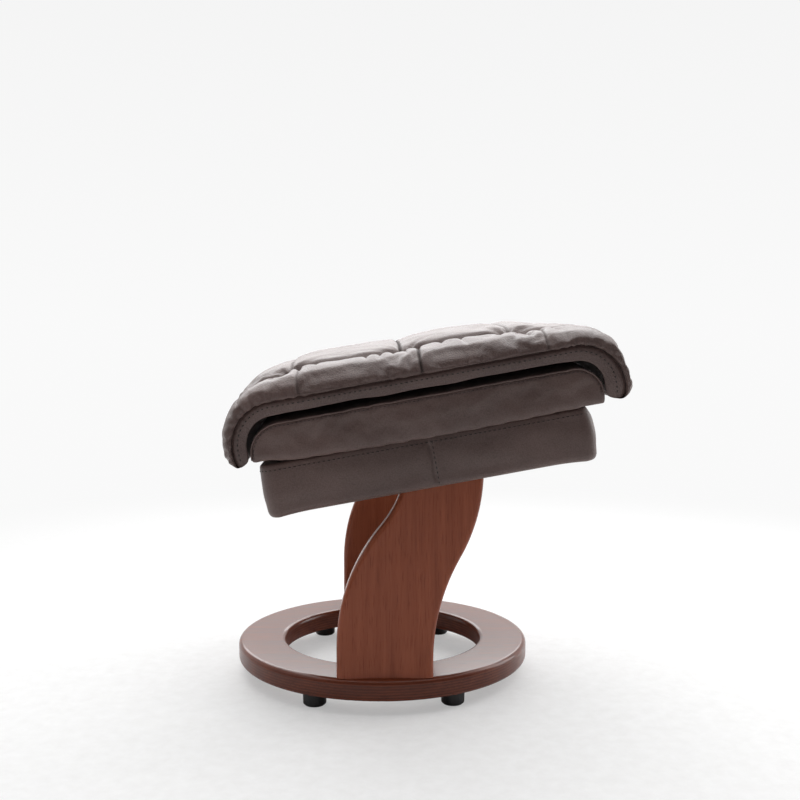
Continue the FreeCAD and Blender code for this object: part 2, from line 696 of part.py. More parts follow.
def make_hinges(lower_screws, upper_screws):
    lower, upper, pins = [], [], []
    for number, centre in enumerate(hinge_centres()):
        lower.append(make_hinge_leaf(f"lower_leaf{number}", centre, False, lower_screws))
        upper.append(make_hinge_leaf(f"upper_leaf{number}", centre, True, upper_screws))
        pins.append(rod(f"pin{number}", "Sizes.hinge_pin_radius", "Sizes.hinge_width",
                        at(0, centre - size("hinge_width") / 2, 0, lay_across)))
    keep(group("hinge_lower_leaves", lower), "hinge_lower_leaves")
    keep(group("hinge_upper_leaves", upper), "hinge_upper_leaves")
    keep(group("hinge_pins", pins), "hinge_pins")


def make_bumpers():
    bumpers = []
    for side in (-0.5, 0.5):
        place = at(room_front + board / 2, side * size("bumper_spacing"), rim)
        bumpers.append(rod(f"bumper{len(bumpers)}", "Sizes.bumper_radius",
                           "Sizes.rim_drop + Sizes.lid_rise - Sizes.bumper_gap", place))
    keep(group("lid_bumpers", bumpers), "lid_bumpers")


# Lid: board, lining, pad and topper
PAD_SECTIONS = (-1, -0.6, 0, 0.6, 1)
PAD_LENGTH = "(Sizes.pad_rear_overhang + Sizes.box_length + Sizes.pad_front_overhang)"
BOARD_INSET = "(Sizes.leather_thickness + Sizes.lid_board_clearance)"
HALF_TURN = math.sqrt(0.5)
TUFT_ROWS = 3


def pad_outline(rear, front, top, grow):
    """Corners of the pad's side panel, with its two upper corners rounded, grown outwards by a distance."""
    rear_radius = size("pad_rear_corner") + grow
    front_radius = size("pad_front_corner") + grow
    rear_corner = (rear + rear_radius, top - rear_radius)
    front_corner = (front - front_radius, top - front_radius)
    return (
        (rear, pad_bottom),
        (rear, rear_corner[1]),
        (rear_corner[0] - rear_radius * HALF_TURN, rear_corner[1] + rear_radius * HALF_TURN),
        (rear_corner[0], top),
        (front_corner[0], top),
        (front_corner[0] + front_radius * HALF_TURN, front_corner[1] + front_radius * HALF_TURN),
        (front, front_corner[1]),
        (front, pad_bottom),
    )


def pad_wire(across, height, bulge, inset):
    """Outline of the pad on one upright plane along the slope."""
    rear, front = pad_rear - bulge + inset, pad_front + bulge - inset
    top = lid_underside + height - inset
    points = [Vector(along, across, above) for along, above in pad_outline(rear, front, top, -inset)]
    edges = [
        Part.LineSegment(points[0], points[1]),
        Part.Arc(points[1], points[2], points[3]),
        Part.LineSegment(points[3], points[4]),
        Part.Arc(points[4], points[5], points[6]),
        Part.LineSegment(points[6], points[7]),
        Part.LineSegment(points[7], points[0]),
    ]
    return Part.Wire([edge.toShape() for edge in edges])


def pad_form(name, inset):
    """Crowned block: lowest at its two welted sides, highest in the middle."""
    wires = []
    for share in PAD_SECTIONS:
        rise = 1 - share * share
        height = size("pad_side_height") + size("pad_crown") * rise
        wires.append(pad_wire(share * (pad_side - inset), height, size("pad_end_bulge") * rise, inset))
    return loft(name, wires)


def make_pad_welts():
    """Cords up one end of each side panel, over its top and down the other end."""
    stand = size("pad_welt_stand")
    rear, front = pad_rear - stand, pad_front + stand
    top = lid_underside + size("pad_side_height") + stand
    points = pad_outline(rear, front, top, stand)
    path = [
        line(points[0], points[1]),
        arc(*points[1:4]),
        line(points[3], points[4]),
        arc(*points[4:7]),
        line(points[6], points[7]),
    ]
    across = pad_side + stand
    body = new_body("pad_welts", tilted)
    cord = pipe(body, path, "XZ_Plane", across, ("XY_Plane", pad_bottom, (rear, -across)), "pad_welt_cord")
    mirror = body.newObject("PartDesign::Mirrored", "pad_welt_pair")
    mirror.Originals = [cord]
    mirror.MirrorPlane = (origin_feature(body, "XZ_Plane"), [""])
    body.Tip = mirror
    doc.recompute()
    return keep(body, "pad_welts")


def make_pad(welts, upper_screws):
    inset = skin + size("lid_board_clearance")
    lid_board = box("lid_board_blank", (pad_rear + inset, inset - pad_side, pad_bottom),
                    f"{PAD_LENGTH} - 2 * {BOARD_INSET}",
                    f"Sizes.pad_width - 2 * {BOARD_INSET}", "Sizes.lid_board_thickness")
    keep(cut("lid_board", lid_board, [upper_screws]), "lid_board")
    margin = size("lid_lining_margin")
    lining = box("lid_lining_blank", (pad_rear + margin, margin - pad_side, lid_underside),
                 f"{PAD_LENGTH} - 2 * Sizes.lid_lining_margin",
                 "Sizes.pad_width - 2 * Sizes.lid_lining_margin", "Sizes.cloth_thickness")
    keep(cut("lid_lining", lining, [upper_screws]), "lid_lining")
    filling = pad_form("pad_filling", skin)
    keep(cut("pad_foam", filling, [lid_board]), "pad_foam")
    keep(cut("pad_cover", pad_form("pad_outside", 0), [filling, welts]), "pad_cover")


topper_rear = pad_rear - size("pad_end_bulge") - size("topper_gap")
topper_front = pad_front + size("pad_end_bulge") + size("topper_gap")
topper_floor = lid_underside + size("pad_side_height") + size("pad_crown") + size("topper_gap")


def topper_bend_place(end):
    """Half-way point of the topper's underside where it turns down, and the outward direction there."""
    bend = size("topper_front_bend") if end > 0 else size("topper_rear_bend")
    turn_at = topper_front - bend if end > 0 else topper_rear + bend
    outward = Vector(end * HALF_TURN, 0, HALF_TURN)
    return Vector(turn_at, 0, topper_floor - bend) + outward * bend, outward


def topper_wire(place, outward, narrower, strip_height, crease, crown, roll):
    """Closed section: flat underside, upright strip, seam, and three swells parted by two creases."""
    strip = size("topper_strip_width") / 2 - narrower
    seam = size("topper_seam_width") / 2 - narrower
    crease_at = size("topper_crease_width") / 2

    def point(across, height):
        return place + Vector(0, across, 0) + outward * height

    def swell(start, end, rise):
        chord = Vector(end[0] - start[0], end[1] - start[1], 0)
        square = Vector(chord.y, -chord.x, 0).normalize() * rise
        middle = ((start[0] + end[0]) / 2 + square.x, (start[1] + end[1]) / 2 + square.y)
        return Part.Arc(point(*start), point(*middle), point(*end))
    edges = [
        Part.LineSegment(point(-strip, 0), point(strip, 0)),
        Part.LineSegment(point(strip, 0), point(strip, strip_height)),
        Part.LineSegment(point(strip, strip_height), point(seam, strip_height)),
        swell((seam, strip_height), (crease_at, crease), roll),
        swell((crease_at, crease), (-crease_at, crease), crown - crease),
        swell((-crease_at, crease), (-seam, strip_height), roll),
        Part.LineSegment(point(-seam, strip_height), point(-strip, strip_height)),
        Part.LineSegment(point(-strip, strip_height), point(-strip, 0)),
    ]
    return Part.Wire([edge.toShape() for edge in edges])


def topper_profile(stretch):
    """Strip, crease, crown and roll of a named stretch of the topper."""
    return [size(f"{stretch}_{word}") for word in ("strip", "crease", "crown", "roll")]


def make_topper():
    """Tufted pillow over the pad, thicker at the low end, with a lip hanging over each end."""
    lip_corner = size("topper_lip_corner")
    rear_end = Vector(topper_rear, 0, lid_underside - size("topper_rear_drop"))
    rear_lip = Vector(topper_rear, 0, (lid_underside + topper_floor - size("topper_rear_bend")) / 2)
    front_end = Vector(topper_front, 0, lid_underside - size("topper_front_drop"))
    front_lip = Vector(topper_front, 0, (lid_underside + topper_floor - size("topper_front_bend")) / 2)
    to_rear, to_front, upward = Vector(-1, 0, 0), Vector(1, 0, 0), Vector(0, 0, 1)

    wires = [
        topper_wire(rear_end, to_rear, lip_corner, *topper_profile("lip_end")),
        topper_wire(rear_lip, to_rear, lip_corner / 4, *topper_profile("rear_lip")),
        topper_wire(*topper_bend_place(-1), 0, *topper_profile("rear_bend")),
    ]
    first_row, last_row = size("tuft_first"), pad_front - size("tuft_last")
    stations = 2 * TUFT_ROWS - 1
    for station in range(stations):
        share = station / (stations - 1)
        crease = size("crease_rear_height") * (1 - share) + size("crease_front_height") * share
        crown = size("crown_rear_height") * (1 - share) + size("crown_front_height") * share
        if station % 2 == 0:
            crease -= size("tuft_depth")
            crown -= size("tuft_pull")
        place = Vector(first_row * (1 - share) + last_row * share, 0, topper_floor)
        wires.append(topper_wire(place, upward, 0, size("topper_strip_height"), crease, crown,
                                 size("topper_roll")))
    front_turn = Vector(topper_front - size("topper_front_bend"), 0, topper_floor)
    wires += [
        topper_wire(front_turn, upward, 0, *topper_profile("front_turn")),
        topper_wire(*topper_bend_place(1), 0, *topper_profile("front_bend")),
        topper_wire(front_lip, to_front, lip_corner / 4, *topper_profile("front_lip")),
        topper_wire(front_end, to_front, lip_corner, *topper_profile("lip_end")),
    ]
    keep(loft("topper_cushion", wires), "topper_cushion")


def make_saw():
    """Everything above the box's underside, which trims the leg panels to the slope."""
    return box("leg_saw", (-size("box_length"), -size("box_width"), underside),
               "3 * Sizes.box_length", "2 * Sizes.box_width", "Sizes.hinge_height")


glide_screws = make_glides()
leg_ring_screws, leg_box_screws = make_leg_screws()
make_ring([glide_screws, leg_ring_screws])
leg_saw = make_saw()
make_leg("right_leg", -1, [leg_ring_screws, leg_box_screws], leg_saw)
make_leg("left_leg", 1, [leg_ring_screws, leg_box_screws], leg_saw)
hinge_lower_screws = make_hinge_screws("hinge_lower_screws", rim + size("hinge_leaf_thickness"), turn_over)
hinge_upper_screws = make_hinge_screws("hinge_upper_screws", lid_underside - size("hinge_leaf_thickness"),
                                       Rotation())
make_boards(make_dowels(), leg_box_screws, hinge_lower_screws)
make_box_leather(make_box_welt(), hinge_lower_screws)
make_hinges(hinge_lower_screws, hinge_upper_screws)
make_bumpers()
make_pad(make_pad_welts(), hinge_upper_screws)
make_topper()
doc.recompute()

for item in doc.Objects:
    assert "Invalid" not in item.State and "Error" not in item.State, item.Label
os.makedirs("parts", exist_ok=True)
for node in nodes:
    assert not node.Shape.isNull() and node.Shape.isValid(), node.Label
for node in nodes:
    node.Shape.exportStep(f"parts/{node.Label}.step")
    print(node.Label, len(node.Shape.Solids), round(node.Shape.Volume))
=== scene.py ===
import math

import bmesh
import bpy
import numpy as np
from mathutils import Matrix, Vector, noise


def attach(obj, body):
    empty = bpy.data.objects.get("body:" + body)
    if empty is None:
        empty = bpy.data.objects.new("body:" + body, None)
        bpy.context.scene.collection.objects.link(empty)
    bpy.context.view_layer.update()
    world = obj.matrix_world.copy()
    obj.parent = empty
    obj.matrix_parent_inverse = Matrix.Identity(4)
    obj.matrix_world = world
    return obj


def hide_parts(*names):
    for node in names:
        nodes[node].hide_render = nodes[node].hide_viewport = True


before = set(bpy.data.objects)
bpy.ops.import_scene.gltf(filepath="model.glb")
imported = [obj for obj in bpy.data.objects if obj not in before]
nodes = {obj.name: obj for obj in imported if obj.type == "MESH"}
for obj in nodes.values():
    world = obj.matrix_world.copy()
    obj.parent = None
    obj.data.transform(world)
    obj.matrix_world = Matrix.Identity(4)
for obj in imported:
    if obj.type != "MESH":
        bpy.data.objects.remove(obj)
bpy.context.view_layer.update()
scene = bpy.context.scene
scene.view_settings.view_transform = "Standard"

# Frame of the tilted box and lid: along the slope, across it, and above the hinge axis, in metres
HINGE = np.array((-0.1858, 0.0, 0.2894))
TILT = math.radians(10.2)
BOX_REAR, BOX_FRONT, BOX_SIDE, BOX_RIM = 0.002, 0.368, 0.198, -0.003
BOX_CORNER, BOX_SEAM_ALONG = 0.015, 0.190
ROOM_REAR, ROOM_FRONT, ROOM_SIDE, ROOM_FLOOR = 0.0185, 0.3515, 0.1815, -0.050
PAD_REAR, PAD_FRONT, PAD_SIDE = -0.004, 0.387, 0.210
PAD_UNDERSIDE, PAD_TOP, PAD_CROWN = 0.0025, 0.042, 0.010
PAD_REAR_CORNER, PAD_FRONT_CORNER = 0.036, 0.031
TOPPER_REAR, TOPPER_FRONT, TOPPER_FLOOR = -0.0095, 0.3925, 0.0545
REAR_BEND, FRONT_BEND = 0.037, 0.032
CREASE, SEAM, STRIP = 0.140, 0.215, 0.209
TUFT_ROWS = (0.047, 0.182, 0.302)
BOTH_SIDES = (-1, 1)


def tilted(along, across, above):
    """Points of the tilted frame as an array of points in the row frame."""
    along, across, above = np.broadcast_arrays(along, across, above)
    x = HINGE[0] + along * math.cos(TILT) - above * math.sin(TILT)
    z = HINGE[2] + along * math.sin(TILT) + above * math.cos(TILT)
    return np.stack((x, across, z), axis=-1)


def untilted(points):
    """Along, across and above of points in the row frame."""
    dx, dz = points[:, 0] - HINGE[0], points[:, 2] - HINGE[2]
    along = dx * math.cos(TILT) + dz * math.sin(TILT)
    above = dz * math.cos(TILT) - dx * math.sin(TILT)
    return along, points[:, 1], above


def smoothstep(low, high, value):
    share = np.clip((value - low) / (high - low), 0, 1)
    return share * share * (3 - 2 * share)


def bell(distance, width):
    """A rounded hump, 1 at its line."""
    return np.exp(-(distance / width) ** 2)


def groove(distance, width):
    """A sharp valley, 1 at its line."""
    return np.exp(-np.abs(distance) / width)


def ripple(first, second, seed):
    """Smooth noise from -1 to 1 at pairs of numbers."""
    first, second = np.broadcast_arrays(first, second)
    flat = [noise.noise(Vector((a, b, seed))) for a, b in zip(first.ravel(), second.ravel())]
    return np.array(flat).reshape(first.shape)


# Meshes
def add_object(name, data):
    added = bpy.data.objects.new(name, data)
    scene.collection.objects.link(added)
    return added


def new_piece(name, points, faces, edges=()):
    mesh = bpy.data.meshes.new(name)
    mesh.from_pydata([tuple(p) for p in points], list(edges), [tuple(f) for f in faces])
    return add_object(name, mesh)


def ring_piece(name, rings, filled=()):
    """A piece skinned over closed rows of points, with some of the rows filled in."""
    count = len(rings[0])
    faces = []
    for row in range(len(rings) - 1):
        for column in range(count):
            right = (column + 1) % count
            faces.append((row * count + column, row * count + right,
                          (row + 1) * count + right, (row + 1) * count + column))
    for row in filled:
        faces.append(tuple(range(row * count, (row + 1) * count)))
    return new_piece(name, np.concatenate(rings), faces)


def turn_faces(piece, merge=False, facing=0):
    """Makes the faces look outward, or the last one up (1) or down (-1) and the others with it."""
    shell = bmesh.new()
    shell.from_mesh(piece.data)
    if merge:
        bmesh.ops.remove_doubles(shell, verts=shell.verts, dist=1e-6)
    bmesh.ops.recalc_face_normals(shell, faces=shell.faces)
    shell.faces.ensure_lookup_table()
    if shell.faces[-1].normal.z * facing < 0:
        bmesh.ops.reverse_faces(shell, faces=shell.faces)
    shell.to_mesh(piece.data)
    shell.free()


def read_vectors(items, name):
    flat = np.zeros(len(items) * 3, np.float32)
    items.foreach_get(name, flat)
    return flat.reshape(-1, 3).astype(float)


def read_points(mesh):
    return read_vectors(mesh.vertices, "co")


def read_normals(mesh):
    return read_vectors(mesh.vertex_normals, "vector")


def write_points(mesh, points):
    mesh.vertices.foreach_set("co", points.astype(np.float32).ravel())
    mesh.update()


def mark(mesh, name, values):
    """Keeps one number a vertex on the mesh, for later moves and for its material."""
    layer = mesh.attributes.get(name) or mesh.attributes.new(name, "FLOAT", "POINT")
    layer.data.foreach_set("value", np.asarray(values, np.float32))


def marked(mesh, *names):
    rows = np.zeros((len(names), len(mesh.vertices)), np.float32)
    for row, name in zip(rows, names):
        mesh.attributes[name].data.foreach_get("value", row)
    return rows.astype(float)


def evaluated_mesh(piece):
    graph = bpy.context.evaluated_depsgraph_get()
    evaluated = piece.evaluated_get(graph)
    return bpy.data.meshes.new_from_object(evaluated, preserve_all_data_layers=True, depsgraph=graph)


def settle(piece):
    """Makes a piece's modifiers part of its mesh."""
    mesh = evaluated_mesh(piece)
    mesh.name = piece.name
    piece.modifiers.clear()
    piece.data = mesh


def subdivide(piece):
    finer = piece.modifiers.new("finer", "SUBSURF")
    finer.levels = finer.render_levels = 1
    settle(piece)


def thicken(piece, thickness):
    wall = piece.modifiers.new("wall", "SOLIDIFY")
    wall.thickness = thickness
    wall.offset = -1
    settle(piece)


CLOTH_SETTINGS = {"quality": 5, "mass": 0.3, "tension_stiffness": 15, "compression_stiffness": 15,
                  "shear_stiffness": 8, "bending_stiffness": 0.6, "use_pressure": True,
                  "vertex_group_mass": "held"}


def inflate(piece, held, pressure, growth, frames, cap):
    """Cloth under pressure, held by weights; no point moves further than the cap."""
    start = read_points(piece.data)
    group = piece.vertex_groups.new(name="held")
    levels = np.round(held, 2)
    for level in np.unique(levels):
        if level > 0:
            group.add([int(i) for i in np.flatnonzero(levels == level)], float(level), "REPLACE")
    cloth_modifier = piece.modifiers.new("cloth", "CLOTH")
    for name, value in CLOTH_SETTINGS.items():
        setattr(cloth_modifier.settings, name, value)
    cloth_modifier.settings.uniform_pressure_force = pressure
    cloth_modifier.settings.shrink_min = -growth
    cloth_modifier.settings.effector_weights.gravity = 0
    cloth_modifier.point_cache.frame_start = 1
    cloth_modifier.point_cache.frame_end = frames
    for number in range(1, frames + 1):
        scene.frame_set(number)
    end = read_points(evaluated_mesh(piece))
    scene.frame_set(1)
    piece.modifiers.clear()
    piece.vertex_groups.clear()
    move = end - start
    length = np.linalg.norm(move, axis=1, keepdims=True)
    write_points(piece.data, start + move * np.minimum(1, cap / np.maximum(length, 1e-9)))


# Node trees
FLOAT, VECTOR, GEOMETRY = "NodeSocketFloat", "NodeSocketVector", "NodeSocketGeometry"
TONE_AND_HEIGHT = [("Tone", FLOAT), ("Height", FLOAT)]
# A wave texture of scale 1 repeats after this length
WAVE_LENGTH = 0.314


def feed(tree, value, entry):
    """Sets an input to a value, or links it to the socket that gives one."""
    if isinstance(value, bpy.types.NodeSocket):
        tree.links.new(value, entry)
    else:
        entry.default_value = value


def fill(tree, node, **settings):
    """Sets a node's properties, and its inputs by name with spaces as underscores."""
    for name, value in settings.items():
        if hasattr(node, name):
            setattr(node, name, value)
        else:
            feed(tree, value, node.inputs[name.replace("_", " ")])


def place(tree, kind, **settings):
    added = tree.nodes.new(kind)
    fill(tree, added, **settings)
    return added


def calc(tree, operation, *values):
    """The result of a math node on numbers or sockets."""
    added = place(tree, "ShaderNodeMath", operation=operation)
    for entry, value in zip(added.inputs, values):
        feed(tree, value, entry)
    return added.outputs["Value"]


def remap(tree, value, **limits):
    return place(tree, "ShaderNodeMapRange", Value=value, **limits).outputs["Result"]


def cloudy(tree, **settings):
    return place(tree, "ShaderNodeTexNoise", **settings).outputs["Fac"]


def object_space(tree):
    return place(tree, "ShaderNodeTexCoord").outputs["Object"]


def mix_colour(tree, share, first, second):
    mix = place(tree, "ShaderNodeMix", data_type="RGBA", Factor=share)
    feed(tree, first, mix.inputs[6])
    feed(tree, second, mix.inputs[7])
    return mix.outputs[2]


def mix_shader(tree, share, first, second):
    mix = place(tree, "ShaderNodeMixShader", Fac=share)
    feed(tree, first, mix.inputs[1])
    feed(tree, second, mix.inputs[2])
    return mix.outputs["Shader"]


def toned(tree, value, dark, light, low, high):
    """Colour from dark to light as a value goes from low to high."""
    share = remap(tree, value, From_Min=low, From_Max=high)
    return mix_colour(tree, share, (*dark, 1), (*light, 1))


def bumped(tree, height, strength, distance):
    bump = place(tree, "ShaderNodeBump", Strength=strength, Distance=distance, Height=height)
    return bump.outputs["Normal"]


def new_group(name, kind, inputs, outputs):
    """An empty node group with named sockets, and the sockets that its inputs give inside it."""
    tree = bpy.data.node_groups.new(name, kind)
    for label, socket_kind, value in inputs:
        socket = tree.interface.new_socket(label, in_out="INPUT", socket_type=socket_kind)
        if value is not None:
            socket.default_value = value
    for label, socket_kind in outputs:
        tree.interface.new_socket(label, in_out="OUTPUT", socket_type=socket_kind)
    return tree, tree.nodes.new("NodeGroupInput").outputs


def make_leather_grain():
    """Pebbled grain, soft wrinkles and patches of tone, in object space."""
    tree, entry = new_group("leather_grain", "ShaderNodeTree",
                            [("Grain Size", FLOAT, 0.0016), ("Wrinkle Size", FLOAT, 0.02)],
                            [*TONE_AND_HEIGHT, ("Roughness", FLOAT)])
    where = object_space(tree)
    grain_scale = calc(tree, "DIVIDE", 1, entry["Grain Size"])
    wrinkle_scale = calc(tree, "DIVIDE", 1, entry["Wrinkle Size"])
    pebbles = place(tree, "ShaderNodeTexVoronoi", feature="SMOOTH_F1", Vector=where, Scale=grain_scale,
                    Smoothness=0.35, Randomness=1.0).outputs["Distance"]
    wrinkles = cloudy(tree, Vector=where, Scale=wrinkle_scale, Detail=5.0, Roughness=0.62, Distortion=0.6)
    patches = cloudy(tree, Vector=where, Scale=9.0, Detail=3.0, Roughness=0.5)
    pores = calc(tree, "MULTIPLY", pebbles, -0.5)
    spots = calc(tree, "MULTIPLY_ADD", pebbles, -0.45, patches)
    place(tree, "NodeGroupOutput",
          Tone=calc(tree, "MULTIPLY_ADD", wrinkles, 0.5, spots),
          Height=calc(tree, "MULTIPLY_ADD", wrinkles, 2.4, pores),
          Roughness=remap(tree, wrinkles, To_Min=0.40, To_Max=0.58))
    return tree


def make_wood_grain():
    """Streaks and pores that run along one axis of object space."""
    tree, entry = new_group("wood_grain", "ShaderNodeTree",
                            [("Stretch", VECTOR, (60.0, 60.0, 4.0))], TONE_AND_HEIGHT)
    mapping = place(tree, "ShaderNodeMapping", Vector=object_space(tree), Scale=entry["Stretch"])
    mapped = mapping.outputs["Vector"]
    streaks = cloudy(tree, Vector=mapped, Scale=1.0, Detail=6.0, Roughness=0.6, Distortion=0.4)
    fine = cloudy(tree, Vector=mapped, Scale=7.0, Detail=2.0, Roughness=0.5)
    pores = remap(tree, fine, From_Min=0.56, From_Max=0.70)
    place(tree, "NodeGroupOutput",
          Tone=calc(tree, "MULTIPLY_ADD", pores, -0.35, streaks),
          Height=calc(tree, "MULTIPLY_ADD", pores, -0.6, streaks))
    return tree


def make_fine_wear():
    """Small uneven spots, for moulded, plated and rubber surfaces."""
    tree, entry = new_group("fine_wear", "ShaderNodeTree", [("Spot Size", FLOAT, 0.001)],
                            [*TONE_AND_HEIGHT, ("Roughness", FLOAT)])
    where = object_space(tree)
    spot_scale = calc(tree, "DIVIDE", 1, entry["Spot Size"])
    smears = cloudy(tree, Vector=where, Scale=40.0, Detail=3.0)
    place(tree, "NodeGroupOutput", Tone=smears,
          Height=cloudy(tree, Vector=where, Scale=spot_scale, Detail=4.0, Roughness=0.6),
          Roughness=remap(tree, smears, To_Min=0.28, To_Max=0.55))
    return tree


def make_weave():
    """Plain weave: threads across each other, whichever way the cloth faces."""
    tree, entry = new_group("weave", "ShaderNodeTree",
                            [("Thread Size", FLOAT, 0.0009), ("Turn", VECTOR, (0.0, 0.0, 0.0))],
                            TONE_AND_HEIGHT)
    where = object_space(tree)
    mapped = place(tree, "ShaderNodeMapping", Vector=where, Rotation=entry["Turn"]).outputs["Vector"]
    scale = calc(tree, "DIVIDE", WAVE_LENGTH, entry["Thread Size"])
    threads = [place(tree, "ShaderNodeTexWave", bands_direction=axis, Vector=mapped, Scale=scale,
                     Distortion=0.5, Detail=1.0).outputs["Fac"] for axis in "XYZ"]
    raised = calc(tree, "MAXIMUM", calc(tree, "MAXIMUM", threads[0], threads[1]), threads[2])
    fibres = cloudy(tree, Vector=where, Scale=60.0, Detail=4.0)
    place(tree, "NodeGroupOutput", Tone=calc(tree, "MULTIPLY", raised, fibres), Height=raised)
    return tree


leather_grain = make_leather_grain()
wood_grain = make_wood_grain()
fine_wear = make_fine_wear()
weave = make_weave()

# Materials
# Near-black colour of the shade painted into the leather's sewn valleys, tuft dimples and crease
PAINTED_CREVICE_SHADE = (0.006, 0.0035, 0.0028, 1)
LAYER_SHADE = 0.45


def new_material(name):
    material = bpy.data.materials.new(name)
    material.use_nodes = True
    tree = material.node_tree
    return material, tree, tree.nodes["Principled BSDF"]


def use_group(tree, group, **values):
    return place(tree, "ShaderNodeGroup", node_tree=group, **values).outputs


def leather(name, dark, light, wrinkle_size, depth):
    """Leather with pebbled grain; the piece's seam attribute paints shade into its sewn valleys, tuft dimples
    and crease, and dulls them.
    """
    material, tree, shader = new_material(name)
    grain = use_group(tree, leather_grain, Grain_Size=0.0015, Wrinkle_Size=wrinkle_size)
    seam = place(tree, "ShaderNodeAttribute", attribute_name="seam").outputs["Fac"]
    colour = toned(tree, grain["Tone"], dark, light, 0.25, 0.85)
    # Painted shade: where the seam attribute is high, the colour turns near black
    fill(tree, shader,
         Base_Color=mix_colour(tree, calc(tree, "POWER", seam, 3.5), colour, PAINTED_CREVICE_SHADE),
         Roughness=calc(tree, "MAXIMUM", grain["Roughness"], seam),
         Normal=bumped(tree, grain["Height"], 0.55, depth),
         Specular_IOR_Level=0.60, Sheen_Weight=0.06, Sheen_Roughness=0.5)
    return material


def stained_wood(name, dark, light, stretch, polish, layered):
    """Wood under stain and lacquer; if it is layered, its upright faces show the layers' lines."""
    material, tree, shader = new_material(name)
    grain = use_group(tree, wood_grain, Stretch=stretch)
    colour = toned(tree, grain["Tone"], dark, light, 0.22, 0.68)
    if layered:
        layers = place(tree, "ShaderNodeTexWave", bands_direction="Z", Vector=object_space(tree), Scale=95.0,
                       Distortion=1.2, Detail=3.0, Detail_Scale=0.6).outputs["Fac"]
        facing = place(tree, "ShaderNodeNewGeometry").outputs["Normal"]
        level = calc(tree, "ABSOLUTE", place(tree, "ShaderNodeSeparateXYZ", Vector=facing).outputs["Z"])
        upright = remap(tree, level, From_Min=0.7, From_Max=0.2, To_Min=0.0, To_Max=0.55)
        line = (*[channel * LAYER_SHADE for channel in dark], 1)
        colour = mix_colour(tree, calc(tree, "MULTIPLY", upright, layers), colour, line)
    fill(tree, shader, Base_Color=colour,
         Roughness=remap(tree, grain["Tone"], To_Min=0.36, To_Max=0.52),
         Normal=bumped(tree, grain["Height"], 0.12, 0.0006),
         Specular_IOR_Level=0.1, Coat_Weight=polish, Coat_Roughness=0.14)
    return material


def raw_wood(name, dark, light, stretch):
    material, tree, shader = new_material(name)
    grain = use_group(tree, wood_grain, Stretch=stretch)
    fill(tree, shader, Base_Color=toned(tree, grain["Tone"], dark, light, 0.2, 0.7), Roughness=0.62,
         Normal=bumped(tree, grain["Height"], 0.25, 0.0005))
    return material


def worn(name, dark, light, spot_size, strength, metallic=0.0):
    """Plastic, rubber, foam, thread or plated metal, with small uneven spots."""
    material, tree, shader = new_material(name)
    wear = use_group(tree, fine_wear, Spot_Size=spot_size)
    fill(tree, shader, Base_Color=toned(tree, wear["Tone"], dark, light, 0.3, 0.7),
         Roughness=wear["Roughness"], Normal=bumped(tree, wear["Height"], strength, 0.0003),
         Metallic=metallic)
    return material


def cloth(name, dark, light, thread_size, depth):
    material, tree, shader = new_material(name)
    threads = use_group(tree, weave, Thread_Size=thread_size, Turn=(0.0, TILT, 0.0))
    fill(tree, shader, Base_Color=toned(tree, threads["Tone"], dark, light, 0.1, 0.6), Roughness=0.88,
         Normal=bumped(tree, threads["Height"], 0.5, depth), Sheen_Weight=0.15)
    return material


topper_leather = leather("topper_leather", (0.066, 0.037, 0.032), (0.128, 0.077, 0.067), 0.030, 0.0012)
pad_leather = leather("pad_leather", (0.073, 0.042, 0.036), (0.140, 0.085, 0.074), 0.060, 0.0004)
leg_wood = stained_wood("leg_wood", (0.215, 0.051, 0.022), (0.325, 0.088, 0.042),
                        (120.0, 120.0, 6.0), 0.30, False)
ring_wood = stained_wood("ring_wood", (0.105, 0.020, 0.007), (0.180, 0.039, 0.014),
                         (8.0, 90.0, 90.0), 0.55, True)
board_wood = raw_wood("board_wood", (0.36, 0.24, 0.14), (0.60, 0.45, 0.29), (8.0, 60.0, 90.0))
dowel_wood = raw_wood("dowel_wood", (0.42, 0.29, 0.18), (0.62, 0.47, 0.31), (8.0, 90.0, 90.0))
glide_plastic = worn("glide_plastic", (0.008, 0.008, 0.009), (0.018, 0.018, 0.019), 0.0007, 0.35)
zinc_steel = worn("zinc_steel", (0.48, 0.49, 0.50), (0.62, 0.62, 0.61), 0.0009, 0.12, 1.0)
bumper_rubber = worn("bumper_rubber", (0.014, 0.014, 0.014), (0.030, 0.030, 0.029), 0.0011, 0.5)
lining_cloth = cloth("lining_cloth", (0.105, 0.084, 0.072), (0.165, 0.134, 0.116), 0.0011, 0.0005)
dust_cloth = cloth("dust_cloth", (0.008, 0.008, 0.009), (0.022, 0.022, 0.024), 0.0008, 0.0003)
thread = worn("thread", (0.010, 0.007, 0.006), (0.022, 0.015, 0.013), 0.0004, 0.6)
pad_foam = worn("pad_foam", (0.62, 0.57, 0.44), (0.76, 0.71, 0.58), 0.0012, 0.8)

NODE_FINISH = {
    leg_wood: ("right_leg", "left_leg"),
    ring_wood: ("base_ring",),
    board_wood: ("box_bottom_panel", "box_rear_board", "box_front_board", "box_left_board",
                 "box_right_board", "lid_board"),
    dowel_wood: ("box_dowels",),
    glide_plastic: ("floor_glides",),
    zinc_steel: ("glide_screws", "leg_ring_screws", "leg_box_screws", "hinge_lower_leaves", "hinge_pins",
                 "hinge_lower_screws", "hinge_upper_leaves", "hinge_upper_screws"),
    bumper_rubber: ("lid_bumpers",),
    topper_leather: ("topper_cushion",),
    pad_leather: ("pad_cover", "pad_welts", "box_cover", "box_welt"),
    lining_cloth: ("box_lining", "lid_lining"),
    dust_cloth: ("box_dust_cover",),
    pad_foam: ("pad_foam",),
}


def paint(piece, material):
    piece.data.materials.clear()
    piece.data.materials.append(material)


for finish, node_names in NODE_FINISH.items():
    for node_name in node_names:
        paint(nodes[node_name], finish)


def finish_piece(piece, material, body, slot, *stands_for):
    paint(piece, material)
    piece.data.polygons.foreach_set("use_smooth", np.ones(len(piece.data.polygons), bool))
    piece.data.update()
    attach(piece, body)
    if stands_for:
        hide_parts(*stands_for)


